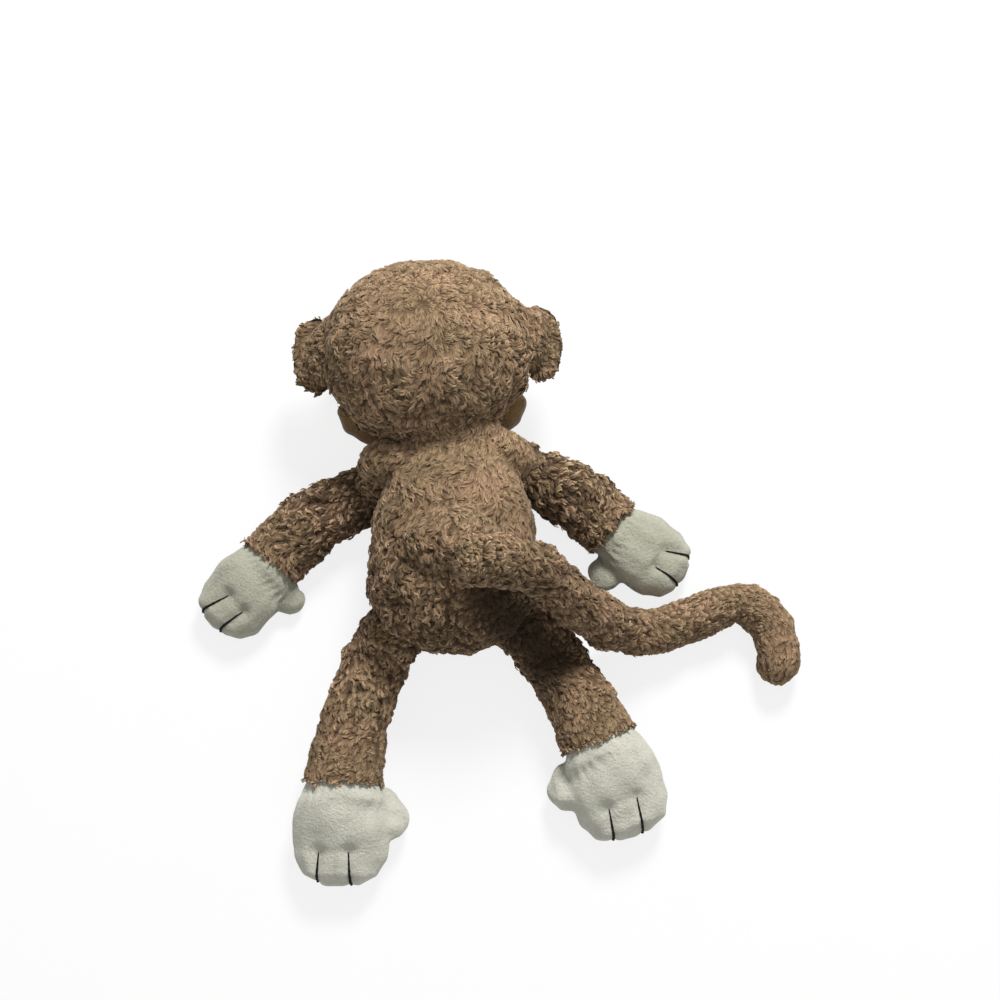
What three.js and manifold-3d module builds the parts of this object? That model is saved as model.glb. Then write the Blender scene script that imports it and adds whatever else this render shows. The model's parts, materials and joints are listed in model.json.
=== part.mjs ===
// A plush monkey lying face down: arms and legs spread, tail thrown over its right hip.
// Millimetres, +Z up. The back is up, the head points to +Y and the tail falls to +X. The origin is
// on the surface the monkey lies on, under the middle of its belly.
import * as THREE from 'three';
import { mergeVertices } from 'three/addons/utils/BufferGeometryUtils.js';
import Module from 'manifold-3d';

// Cloth and sewing
const seamGap = 0.3; // clearance between two pieces that touch
const seatGap = 0.7; // clearance round a rounded seat that turns
const pileCloth = 4; // curly pile with its backing
const smoothCloth = 1.6; // short-nap cloth of face, hands and feet
const pressedFlat = 0.5; // how far a form is flattened by the surface under it
const fullness = 2.3; // 2 is an ellipse, more is a better filled section
const sewnEdge = 2.4; // thickness of a limb where it is sewn flat
const stitchLineWidth = 1; // groove that a stitched finger line pulls into the cloth
const stitchLineDepth = 0.9;

// Torso, measured along its middle line from the middle of the belly
const torsoBelow = 51;
const torsoAbove = 64;
const hipWidth = 92;
const chestWidth = 89;
const shoulderWidth = 74;
const neckWidth = 58;
const hipHeight = 73;
const chestHeight = 70;
const shoulderHeight = 60;
const neckHeight = 46;
const neckLift = 38; // height of the neck's middle
const hipFullTo = 4; // the hips keep their height up to here
const chestAt = 24;
const shoulderAt = 46;
const torsoBend = 11; // degrees the neck leans to the left
const sideSeamHeight = 30; // height of the seam between back and belly
const hipRounding = 30; // length of the rounded bottom

// Head
const headWidth = 117;
const headLength = 105;
const headHeight = 88;
const headLift = 52; // height of the head's middle
const headRoll = 7.5; // degrees the crown turns to the left
const headAside = 17; // how far the head lies to the left of the neck
const headAhead = 53; // neck pivot to the head's middle
const faceSeamHeight = 30; // height of the seam between fur and face
const muzzleWidth = 111;
const muzzleLength = 52;
const muzzleHeight = 37;
const muzzleDrop = 24; // muzzle middle below the head's middle, along the face
const nodBack = 14; // degrees
const nodForward = 10;

// Ears
const earReach = 20.5;
const earTall = 46;
const earThick = 9;
const earRise = 3; // ear middle above the head's middle
const earLift = 46;
const earFold = 45; // degrees
const earSunk = 2; // how deep its seam is sewn in
const earShape = [[0, 0.9], [0.3, 1], [0.6, 0.9]]; // share of its reach and of its height

// Eyes: a domed button, its shank and the washer that locks it behind the cloth
const eyeDiameter = 10;
const eyeBulge = 3.6;
const eyeSpacing = 34;
const eyeRise = 13; // above the head's middle
const shankDiameter = 3.2;
const shankLength = 9;
const washerDiameter = 11;
const washerThick = 1.4;
const washerDepth = 3; // behind the face of the cloth

// Arms, from the seam in the torso's side to the seam of the hand
const armSeamAt = 54; // along the torso's middle line
const armSeamLength = 29;
const armWidth = 35;
const armHeight = 32;
const wristWidth = 37;
const wristHeight = 29;
const armReachLeft = 95.5;
const armReachRight = 77;
const armHeadingsLeft = [199, 238]; // plan direction at the shoulder and at the wrist
const armHeadingsRight = [-10, -42];
const armShape = { upperArm: 0.26, elbow: 0.52, forearm: 0.8 }; // shares of the reach
const upperArmFill = 0.8; // share of the height it has filled out to
const elbowLiftRight = 6; // the right elbow is bunched up off the floor
const shoulderSlope = 12; // degrees the torso's side turns in at the shoulder
const limbSunk = 2; // how deep a limb's seam is sewn in
const armSwing = 45; // degrees
const wristFlex = 20;
const handTurnLeft = -6; // degrees that a hand is turned from the end of its arm
const handTurnRight = 12;
const rimClearance = 5; // degrees between a cuff and the mitt at full flex

// Hands
const handLength = 43; // from the wrist's bend to the finger tips
const handWidth = 43;
const handHeight = 25;
const thumbLength = 33;
const thumbWidth = 15;
const thumbAngle = 118; // degrees from the way the hand points
const mittShape = [[0.3, 1, 1], [0.66, 0.97, 0.86]]; // share of its length, width and height
const digitTaper = 0.95;
const thumbFrom = 0.3; // place of the thumb in the hand's length
const bigToeFrom = 0.26; // place of the big toe in the foot's length
const fingerLineShare = 0.42; // length of a finger line in the mitt's length
const fingerSpread = 6; // degrees between a finger line and the mitt's middle

// Legs, from the seam in the torso's bottom to the seam of the foot
const legReachLeft = 98;
const legReachRight = 87;
const legSeamLength = 36;
const thighWidth = 35;
const thighHeight = 36;
const ankleWidth = 47;
const ankleHeight = 37;
const hipSeamHeight = 26;
const hipAngleLeft = 210; // place of the leg's seam round the rounded bottom
const hipAngleRight = -12;
const legHeadingsLeft = [244, 273];
const legHeadingsRight = [-44, -66];
const legShape = { upperThigh: 0.25, thigh: 0.5, shin: 0.8 }; // shares of the reach
const upperThighFill = 0.84; // share of the height it has filled out to
const legForward = 64; // degrees the legs swing forward, to sit
const legBack = 10;
const ankleFlex = 20;

// Feet
const footLength = 47; // from the ankle's bend to the toes
const footWidth = 53;
const footHeight = 31;
const bigToeLength = 37;
const bigToeWidth = 24;
const bigToeAngle = 95;

// Tail
const tailWidth = 28;
const tailTipWidth = 24;
const tailRootAt = -8; // along the torso's middle line
const tailPinch = 18; // length over which the root fills out from its flat seam
const tailOverHip = [68, 38]; // places round the hip that it passes, in degrees above its side
const tailPastHip = [30, 56, 76, 106, 123, 137.5, 140.5]; // its route beyond the hip's side
const tailAlongBody = [-25.5, -30, -26, -12, -9, -21.5, -41]; // the same places, towards the head
const tailDrop = [44, 20]; // height of its middle at the first two of them; the rest lie down
const tailBends = [4, 7]; // places on the route where it bends most
const tailLiftOver = 95; // degrees the tail swings up and over the back
const tailBend = 30; // degrees it bends where it meets the floor
const tailCurl = 30; // degrees it curls or straightens near its tip
const closingSlit = 16; // where the tip was filled and sewn shut

// Facets
const torsoSides = 16;
const headSides = 16;
const limbSides = 12;
const digitSides = 8;
const fillingSides = 8; // round the filling inside a tube of pile
const seatSides = 16;
const seatRings = 8;
const eyeSides = 12;
const eyeSteps = 3;
const tailRingsBetween = 2;
const domeTurns = [38, 68]; // degrees round a rounded end at which it has a ring
const headTurns = [24, 47, 70]; // the same for the head, which shows its rounding most
const nearPole = 87;
const least = 1; // half the width of the smallest section worth a ring
const grid = 0.001;
const sliver = 1; // volume of a crumb too small to be a piece
const swingStep = 15; // degrees between the places where a limb is cleared of its seat

const degree = Math.PI / 180;
const wasm = await Module();
wasm.setup();

// Colours and finishes
const finish = (color, roughness) => new THREE.MeshStandardMaterial({ color, roughness, metalness: 0 });
const brownPile = () => finish(0x86694a, 0.95);
const creamCloth = () => finish(0xc9c6b0, 0.9);
const faceCloth = () => finish(0xb9ad8c, 0.9);
const fibreFill = () => finish(0xf1efe8, 1);
const blackEye = () => finish(0x17120f, 0.2);
const clearWasher = () => finish(0xd8d6cc, 0.5);

// Plan directions and places
const heading = (angle) => new THREE.Vector3(Math.cos(angle * degree), Math.sin(angle * degree), 0);
const place = (x, y, z = 0) => new THREE.Vector3(x, y, z);
const onward = (from, angle, distance) => from.clone().addScaledVector(heading(angle), distance);

// A closed geometry as a solid, its points set on a fine grid, and a solid as a geometry
function solid(geometry) {
  const bare = geometry.clone();
  bare.deleteAttribute('normal');
  bare.deleteAttribute('uv');
  const places = bare.attributes.position.array;
  places.forEach((value, index) => { places[index] = Math.round(value / grid) * grid; });
  const merged = mergeVertices(bare, grid);
  const vertProperties = new Float32Array(merged.attributes.position.array);
  const triVerts = new Uint32Array(merged.index.array);
  return new wasm.Manifold(new wasm.Mesh({ numProp: 3, vertProperties, triVerts }));
}

function geometryOf(body) {
  const mesh = body.getMesh();
  const geometry = new THREE.BufferGeometry();
  geometry.setAttribute('position', new THREE.BufferAttribute(new Float32Array(mesh.vertProperties), 3));
  geometry.setIndex(withoutSlivers(geometry.attributes.position, Array.from(mesh.triVerts)));
  const faceted = geometry.toNonIndexed();
  faceted.computeVertexNormals();
  return faceted;
}

// The triangles of a cut solid without the crumbs, smaller than a sliver, that cutting can leave
function withoutSlivers(points, corners) {
  const leader = Array.from({ length: points.count }, (value, index) => index);
  const find = (corner) => {
    let at = corner;
    while (leader[at] !== at) at = leader[at];
    leader[corner] = at;
    return at;
  };
  for (let index = 0; index < corners.length; index += 3) {
    leader[find(corners[index + 1])] = find(corners[index]);
    leader[find(corners[index + 2])] = find(corners[index]);
  }
  const volumes = new Map();
  const corner = (index) => new THREE.Vector3().fromBufferAttribute(points, corners[index]);
  for (let index = 0; index < corners.length; index += 3) {
    const share = corner(index).dot(corner(index + 1).cross(corner(index + 2))) / 6;
    const body = find(corners[index]);
    volumes.set(body, (volumes.get(body) ?? 0) + share);
  }
  const volumeAt = (index) => Math.abs(volumes.get(find(corners[index - (index % 3)])));
  return corners.filter((value, index) => volumeAt(index) > sliver);
}

// A closed skin over rings of points that run counterclockwise seen from the far end
function ringForm(rings, firstPole, lastPole) {
  const sides = rings[0].length;
  const places = [...rings.flat(), firstPole, lastPole];
  const faces = [];
  const firstPoleAt = rings.length * sides;
  const lastPoleAt = firstPoleAt + 1;
  const lastRing = (rings.length - 1) * sides;
  for (let side = 0; side < sides; side += 1) {
    const next = (side + 1) % sides;
    faces.push(firstPoleAt, next, side);
    faces.push(lastPoleAt, lastRing + side, lastRing + next);
    for (let ring = 0; ring < rings.length - 1; ring += 1) {
      const here = ring * sides;
      const there = here + sides;
      faces.push(here + side, here + next, there + next);
      faces.push(here + side, there + next, there + side);
    }
  }
  const geometry = new THREE.BufferGeometry().setFromPoints(places);
  geometry.setIndex(faces);
  return solid(geometry);
}

// A cosine or sine drawn out so that the round it makes is as full as a stuffed section
const rounded = (value, filled) => Math.sign(value) * Math.abs(value) ** (2 / filled);

// The points of one stuffed section; across and up are its two directions
function sectionRing({ centre, across, up, wide, tall, filled = fullness }, sides) {
  const ring = [];
  const toFlat = rounded(Math.cos(Math.PI / sides), filled); // its flats lie at its full size
  for (let side = 0; side < sides; side += 1) {
    const angle = ((side + 0.5) / sides) * 2 * Math.PI;
    const point = centre.clone();
    point.addScaledVector(across, (wide * rounded(Math.cos(angle), filled)) / toFlat);
    point.addScaledVector(up, (tall * rounded(Math.sin(angle), filled)) / toFlat);
    ring.push(point);
  }
  return ring;
}

// A stuffed form through stations { x, y, z, facing, wide, tall }: smooth between them, with its
// ends flat or rounded over the lengths given. inset draws the whole form in by that much.
function stuffedForm(stations, {
  sides, between = 1, startRounding = 0, endRounding = 0, turns = domeTurns, inset = 0,
}) {
  const count = stations.length;
  const channels = stations.flatMap((s) => [s.x, s.y, s.z, s.facing, s.wide, s.tall]);
  const smooth = new THREE.CubicInterpolant(stations.map((s, index) => index), channels, 6);
  const sampled = [];
  const samples = (count - 1) * between;
  for (let index = 0; index <= samples; index += 1) {
    const [x, y, z, facing, wide, tall] = smooth.evaluate((index / samples) * (count - 1));
    sampled.push({
      centre: place(x, y, z),
      facing,
      across: heading(facing + 90),
      up: place(0, 0, 1),
      wide: wide - inset,
      tall: tall - inset,
    });
  }
  const filled = sampled.filter((s) => s.wide > least && s.tall > least);
  const first = filled[0];
  const last = filled[filled.length - 1];
  if (startRounding === 0) first.centre = onward(first.centre, first.facing, inset);
  const dome = (end, length, way) => {
    const added = [];
    turns.forEach((turn) => {
      const scale = Math.cos(turn * degree);
      const centre = onward(end.centre, end.facing, way * length * Math.sin(turn * degree));
      added.push({ ...end, centre, wide: end.wide * scale, tall: end.tall * scale });
    });
    return added;
  };
  const startLength = Math.max(startRounding - inset, 0);
  const endLength = Math.max(endRounding - inset, 0);
  const before = startLength > 0 ? dome(first, startLength, -1).reverse() : [];
  const after = endLength > 0 ? dome(last, endLength, 1) : [];
  const rings = [...before, ...filled, ...after].map((s) => sectionRing(s, sides));
  const startPole = onward(first.centre, first.facing, -startLength);
  const endPole = onward(last.centre, last.facing, endLength);
  return ringForm(rings, startPole, endPole);
}

// A solid block turned about Z, for cutting along planes
function block(centre, size, turn = 0) {
  const geometry = new THREE.BoxGeometry(size.x, size.y, size.z);
  geometry.rotateZ(turn * degree);
  geometry.translate(centre.x, centre.y, centre.z);
  return solid(geometry);
}

const cutSize = 600; // larger than the whole monkey
const wholeCut = place(cutSize, cutSize, cutSize);
const above = (height) => block(place(0, 0, height + cutSize / 2), wholeCut);
const below = (height) => block(place(0, 0, height - cutSize / 2), wholeCut);

// Everything past a plane that lies square to a direction
function beyond(point, direction, distance) {
  const geometry = new THREE.BoxGeometry(cutSize, cutSize, cutSize);
  geometry.translate(cutSize / 2 + distance, 0, 0);
  const way = direction.clone().normalize();
  geometry.applyQuaternion(new THREE.Quaternion().setFromUnitVectors(place(1, 0, 0), way));
  geometry.translate(point.x, point.y, point.z);
  return solid(geometry);
}

// The room of a rounded seat: an egg that is round about the level axis the bend turns on
function seat({ pivot, axisAngle, halfLength, radius, filled = fullness }) {
  const profile = [];
  const toFlat = Math.cos(Math.PI / seatSides);
  for (let ring = 0; ring <= seatRings; ring += 1) {
    const angle = (ring / seatRings) * 180 * degree - 90 * degree;
    const outwards = ring === 0 || ring === seatRings ? 0 : rounded(Math.cos(angle), filled);
    const reach = ((radius + seatGap) * outwards) / toFlat;
    profile.push(new THREE.Vector2(reach, (halfLength + seatGap) * rounded(Math.sin(angle), filled)));
  }
  const geometry = new THREE.LatheGeometry(profile, seatSides);
  geometry.rotateZ((axisAngle - 90) * degree);
  geometry.translate(pivot.x, pivot.y, pivot.z);
  return solid(geometry);
}

function turned(body, pivot, axisAngle, angle) {
  const geometry = geometryOf(body);
  geometry.translate(-pivot.x, -pivot.y, -pivot.z);
  geometry.applyMatrix4(new THREE.Matrix4().makeRotationAxis(heading(axisAngle), angle * degree));
  geometry.translate(pivot.x, pivot.y, pivot.z);
  return solid(geometry);
}

// The room that a body takes up, seen from a piece that turns from low to high on it
function roomBeside(body, { pivot, axisAngle, low, high }) {
  const steps = Math.ceil((high - low) / swingStep);
  let room = body;
  for (let step = 0; step <= steps; step += 1) {
    const turn = low + ((high - low) * step) / steps;
    room = room.add(turned(body, pivot, axisAngle, -turn));
  }
  return room;
}

// A bend on a level axis; a positive turn lifts what points outwards from it
const bends = {};
function bend(name, pivot, outwards, low, high) {
  bends[name] = { pivot, axisAngle: outwards - 90, low, high };
  return bends[name];
}

const monkey = new THREE.Group();

function addPiece(name, body, material) {
  const mesh = new THREE.Mesh(geometryOf(solid(geometryOf(body))), material);
  mesh.name = name;
  monkey.add(mesh);
}

// The torso's middle line leans to the left towards the neck
function torsoLine(along) {
  const share = (along + torsoBelow) / (torsoBelow + torsoAbove);
  const facing = 90 + torsoBend * share * share;
  const aside = (-(along + torsoBelow) * torsoBend * degree * share * share) / 3;
  return { x: aside, y: along, facing };
}

const restLift = (height) => height / 2 - pressedFlat;

function torsoStation(along, width, height, lift) {
  return { ...torsoLine(along), z: lift, wide: width / 2, tall: height / 2 };
}

const torsoStations = [
  torsoStation(hipRounding - torsoBelow, hipWidth, hipHeight, restLift(hipHeight)),
  torsoStation(hipFullTo, (hipWidth + chestWidth) / 2, hipHeight, restLift(hipHeight)),
  torsoStation(chestAt, chestWidth, chestHeight, (neckLift + 2 * restLift(chestHeight)) / 3),
  torsoStation(shoulderAt, shoulderWidth, shoulderHeight, (2 * neckLift + restLift(chestHeight)) / 3),
  torsoStation(torsoAbove, neckWidth, neckHeight, neckLift),
];

const neckAt = torsoLine(torsoAbove);
const neckBend = bend('neck', place(neckAt.x, neckAt.y, neckLift), neckAt.facing, -nodForward, nodBack);
const neckSeat = { ...neckBend, halfLength: neckWidth / 2, radius: neckHeight / 2 };

function torsoForm(inset) {
  const ends = { startRounding: hipRounding, endRounding: neckHeight / 2 };
  const form = stuffedForm(torsoStations, { sides: torsoSides, inset, ...ends });
  return form.intersect(above(inset));
}

const torsoGrown = torsoForm(-seamGap);

function addTorso() {
  const skin = torsoForm(0).subtract(torsoForm(pileCloth));
  const middle = place(torsoLine(0).x, 0);
  const back = skin.intersect(above(sideSeamHeight + seamGap));
  addPiece('torso_back_left', back.intersect(beyond(middle, heading(180), seamGap / 2)), brownPile());
  addPiece('torso_back_right', back.intersect(beyond(middle, heading(0), seamGap / 2)), brownPile());
  addPiece('belly_panel', skin.intersect(below(sideSeamHeight)), brownPile());
  addPiece('torso_stuffing', torsoForm(pileCloth + seamGap), fibreFill());
}

// The head lies on its muzzle. Its places are given along its own sideways direction and length.
const headMiddle = place(neckAt.x - headAside, neckAt.y + headAhead);

function headPlace(aside, along, height) {
  const point = onward(onward(headMiddle, headRoll, aside), headRoll + 90, along);
  point.z = height;
  return point;
}

// An egg-shaped form with its middle on the head's own length
function headEgg(along, lift, width, length, height, inset) {
  const middle = headPlace(0, along, lift);
  const equator = { z: lift, facing: headRoll + 90, wide: width / 2, tall: height / 2 };
  const thin = 0.5; // half the length of the egg's straight middle
  const stations = [-thin, thin].map((step) => {
    const at = onward(middle, headRoll + 90, step);
    return { ...equator, x: at.x, y: at.y };
  });
  const rounding = length / 2 - thin;
  const ends = { startRounding: rounding, endRounding: rounding, turns: headTurns };
  return stuffedForm(stations, { sides: headSides, inset, ...ends });
}

const skullForm = (inset) => headEgg(0, headLift, headWidth, headLength, headHeight, inset);

function muzzleForm(inset) {
  const lift = restLift(muzzleHeight);
  const form = headEgg(-muzzleDrop, lift, muzzleWidth, muzzleLength, muzzleHeight, inset);
  return form.intersect(above(inset));
}

// The height of the face's underside
function faceHeight(aside, along) {
  const narrowing = Math.sqrt(1 - (along / (headLength / 2)) ** 2);
  const across = Math.abs(aside) / ((headWidth / 2) * narrowing);
  return headLift - (headHeight / 2) * narrowing * (1 - across ** fullness) ** (1 / fullness);
}

// A button eye with its shank through the face, and the washer that locks it behind the cloth
function eyeParts(side) {
  const aside = (side * eyeSpacing) / 2;
  const nearby = 0.01 * eyeSpacing;
  const dropAside = faceHeight(aside + nearby, eyeRise) - faceHeight(aside, eyeRise);
  const dropAlong = faceHeight(aside, eyeRise + nearby) - faceHeight(aside, eyeRise);
  const outwards = place(dropAside, dropAlong, -nearby).applyAxisAngle(place(0, 0, 1), headRoll * degree);
  const facing = new THREE.Quaternion().setFromUnitVectors(place(0, 1, 0), outwards.normalize());
  const at = headPlace(aside, eyeRise, faceHeight(aside, eyeRise));
  // turned parts are drawn with their axis along Y and their outer end at +Y
  const turnedPart = (outline) => {
    const geometry = new THREE.LatheGeometry(outline.map(([x, y]) => new THREE.Vector2(x, y)), eyeSides);
    geometry.applyQuaternion(facing);
    geometry.translate(at.x, at.y, at.z);
    return solid(geometry);
  };
  const disc = (radius, from, to) => turnedPart([[0, from], [radius, from], [radius, to], [0, to]]);
  const bulge = [[0, seamGap]];
  for (let step = 0; step <= eyeSteps; step += 1) {
    const turn = (step / eyeSteps) * 90 * degree;
    bulge.push([(Math.cos(turn) * eyeDiameter) / 2, seamGap + Math.sin(turn) * eyeBulge]);
  }
  bulge[bulge.length - 1][0] = 0;
  const shank = disc(shankDiameter / 2, -shankLength, seamGap + eyeBulge / 2);
  const washerHole = disc(shankDiameter / 2 + seamGap, -shankLength, 0);
  const washer = disc(washerDiameter / 2, -washerDepth - washerThick, -washerDepth);
  const washerRoom = [-washerDepth - washerThick - seamGap, -washerDepth + seamGap];
  const pastCloth = 1;
  const room = disc(shankDiameter / 2 + seamGap, -shankLength - seamGap, pastCloth)
    .add(disc(washerDiameter / 2 + seamGap, ...washerRoom));
  return { eye: turnedPart(bulge).add(shank), washer: washer.subtract(washerHole), room };
}

function addHead() {
  const torsoRoom = roomBeside(torsoGrown, neckBend).add(seat(neckSeat));
  const eyes = { left: eyeParts(-1), right: eyeParts(1) };
  const rooms = torsoRoom.add(eyes.left.room).add(eyes.right.room);
  const skull = skullForm(0);
  const fur = skull.subtract(skullForm(pileCloth)).intersect(above(faceSeamHeight + seamGap));
  const face = skull.subtract(skullForm(smoothCloth)).intersect(below(faceSeamHeight));
  addPiece('head_back', fur.subtract(torsoRoom), brownPile());
  addPiece('face_panel', face.subtract(rooms), faceCloth());
  addPiece('head_stuffing', skullForm(pileCloth + seamGap).subtract(rooms), fibreFill());
  const beside = skullForm(-seamGap).add(torsoRoom);
  const pouch = muzzleForm(0).subtract(muzzleForm(smoothCloth));
  addPiece('muzzle', pouch.subtract(beside), faceCloth());
  addPiece('muzzle_stuffing', muzzleForm(smoothCloth + seamGap).subtract(beside), fibreFill());
  Object.entries(eyes).forEach(([side, { eye, washer }]) => {
    addPiece(`eye_${side}`, eye, blackEye());
    addPiece(`eye_washer_${side}`, washer, clearWasher());
  });
}

// An ear of pile behind and smooth cloth in front, sewn flat along the side of the head
function addEar(side, name) {
  const outwards = side < 0 ? headRoll + 180 : headRoll;
  const root = headPlace(side * (headWidth / 2 - earSunk), earRise, earLift);
  const fold = bend(`ear_${name}`, root, outwards, -earFold, earFold);
  const stations = earShape.map(([share, tallShare], index) => {
    const at = onward(root, outwards, share * earReach);
    const thick = index === 0 ? sewnEdge : earThick;
    const wide = (earTall / 2) * tallShare;
    return { x: at.x, y: at.y, z: earLift, facing: outwards, wide, tall: thick / 2 };
  });
  const lastShare = earShape[earShape.length - 1][0];
  const ear = stuffedForm(stations, { sides: limbSides, endRounding: (1 - lastShare) * earReach });
  const shaped = ear.subtract(roomBeside(skullForm(-seamGap), fold));
  addPiece(`ear_back_${name}`, shaped.intersect(above(earLift + seamGap / 2)), brownPile());
  addPiece(`ear_front_${name}`, shaped.intersect(below(earLift - seamGap / 2)), faceCloth());
}

// A limb's stations along a path whose plan direction turns evenly from one heading to another.
// Each shape row is its share of the reach, its width, its height and how far it is lifted.
function limbStations(root, seamFacing, [startHeading, endHeading], reach, shapes) {
  const walk = (share) => {
    const at = root.clone();
    const steps = 20;
    for (let step = 0; step < steps; step += 1) {
      const here = ((step + 0.5) / steps) * share;
      const towards = heading(startHeading + (endHeading - startHeading) * here);
      at.addScaledVector(towards, (share * reach) / steps);
    }
    return at;
  };
  return shapes.map(([share, width, height, lift = 0], index) => {
    const at = walk(share);
    const facing = index === 0 ? seamFacing : startHeading + (endHeading - startHeading) * share;
    const z = index === 0 ? root.z : restLift(height) + lift;
    return { x: at.x, y: at.y, z, facing, wide: width / 2, tall: height / 2 };
  });
}

// A sewn sleeve of pile and its filling: closed flat at the torso, open at the mitt's rounded root
function addSleeve(names, stations, torsoRoom, mittBend, mittSeat, flex) {
  const end = stations[stations.length - 1];
  const rimBack = mittSeat.radius * Math.sin((flex + rimClearance) * degree);
  const cuts = torsoRoom
    .add(seat(mittSeat))
    .add(beyond(mittBend.pivot, heading(end.facing), -rimBack));
  const form = (inset) => {
    const filled = inset > 0 ? stations.slice(1) : stations;
    const sides = inset > 0 ? fillingSides : limbSides;
    return stuffedForm(filled, { sides, inset }).intersect(above(inset));
  };
  addPileTube(names, form, cuts);
}

// A tube of pile and its filling, both cut alike
function addPileTube(names, form, cuts) {
  addPiece(names.skin, form(0).subtract(form(pileCloth).add(cuts)), brownPile());
  addPiece(names.filling, form(pileCloth + seamGap).subtract(cuts), fibreFill());
}

// A mitt of two smooth cloths and its filling: a rounded root in the cuff, a thumb or big toe, and
// two stitched lines that part the fingers or toes
function addMitt(names, root, size) {
  const { pointing, seatShape, length, width, height, digit, seamHeight } = size;
  const station = (share, wide, tall) => {
    const at = onward(root, pointing, share * length);
    return { x: at.x, y: at.y, z: restLift(tall), facing: pointing, wide: wide / 2, tall: tall / 2 };
  };
  const palmStations = [
    station(0, 2 * seatShape.halfLength, 2 * seatShape.radius),
    ...mittShape.map(([share, wide, tall]) => station(share, wide * width, tall * height)),
  ];
  const lastShare = mittShape[mittShape.length - 1][0];
  const digitRoot = onward(root, pointing, digit.from * length);
  const digitHeight = Math.min(digit.width, height);
  const digitStation = (distance, share) => {
    const at = onward(digitRoot, digit.pointing, distance);
    const tall = digitHeight * share;
    const z = restLift(tall);
    return { x: at.x, y: at.y, z, facing: digit.pointing, wide: digit.width / 2, tall: tall / 2 };
  };
  const digitRounding = digit.width / 2;
  const digitStraight = digit.length - digitRounding;
  const digitStations = [digitStation(digitStraight / 3, 1), digitStation(digitStraight, digitTaper)];
  const form = (inset) => {
    const ends = { startRounding: seatShape.radius, endRounding: (1 - lastShare) * length };
    const palm = stuffedForm(palmStations, { sides: limbSides, inset, ...ends });
    const toe = stuffedForm(digitStations, { sides: digitSides, endRounding: digitRounding, inset });
    return palm.add(toe).intersect(above(inset));
  };
  let lines = null;
  [-1, 1].forEach((side) => {
    const angle = pointing + side * fingerSpread;
    const reach = length * fingerLineShare;
    const tip = onward(root, pointing, length);
    const at = onward(onward(tip, pointing + 90, (side * width) / 6), angle + 180, reach / 2 - seamGap);
    const plate = block(at, place(reach, stitchLineWidth, cutSize), angle);
    lines = lines ? lines.add(plate) : plate;
  });
  const grooves = lines.intersect(above(seamHeight)).subtract(form(stitchLineDepth));
  const skin = form(0).subtract(form(smoothCloth).add(grooves));
  addPiece(names.upper, skin.intersect(above(seamHeight + seamGap)), creamCloth());
  addPiece(names.lower, skin.intersect(below(seamHeight)), creamCloth());
  addPiece(names.filling, form(smoothCloth + seamGap), fibreFill());
}

// One arm and its hand; side is -1 for the left of the picture and 1 for the right
function addArm(side, name, { headings, reach, elbowLift = 0, handTurn }) {
  const line = torsoLine(armSeamAt);
  const sideWidth = THREE.MathUtils.mapLinear(armSeamAt, shoulderAt, torsoAbove, shoulderWidth, neckWidth);
  const seamFacing = line.facing - side * 90 + side * shoulderSlope;
  const root = place(line.x, line.y, sideSeamHeight);
  const atSide = onward(root, line.facing - side * 90, sideWidth / 2 - limbSunk);
  const swing = bend(`arm_${name}`, atSide, seamFacing, -armSwing, armSwing);
  const shapes = [
    [0, armSeamLength, sewnEdge],
    [armShape.upperArm, (armSeamLength + armWidth) / 2, upperArmFill * armHeight, elbowLift],
    [armShape.elbow, armWidth, armHeight, elbowLift],
    [armShape.forearm, (armWidth + wristWidth) / 2, (armHeight + wristHeight) / 2],
    [1, wristWidth, wristHeight],
  ];
  const stations = limbStations(atSide, seamFacing, headings, reach, shapes);
  const wrist = stations[stations.length - 1];
  const pivot = place(wrist.x, wrist.y, wrist.z);
  const pointing = wrist.facing + handTurn;
  const flex = bend(`wrist_${name}`, pivot, pointing, -wristFlex, wristFlex);
  const seatShape = { ...flex, halfLength: wristWidth / 2, radius: wristHeight / 2 };
  const names = { skin: `sleeve_${name}`, filling: `arm_stuffing_${name}` };
  addSleeve(names, stations, roomBeside(torsoGrown, swing), flex, seatShape, wristFlex);
  const thumbPointing = pointing - side * thumbAngle;
  const handNames = { upper: `hand_back_${name}`, lower: `palm_${name}`, filling: `hand_stuffing_${name}` };
  addMitt(handNames, place(wrist.x, wrist.y), {
    pointing,
    seatShape,
    length: handLength,
    width: handWidth,
    height: handHeight,
    seamHeight: handHeight / 2,
    digit: { length: thumbLength, width: thumbWidth, from: thumbFrom, pointing: thumbPointing },
  });
}

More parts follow.
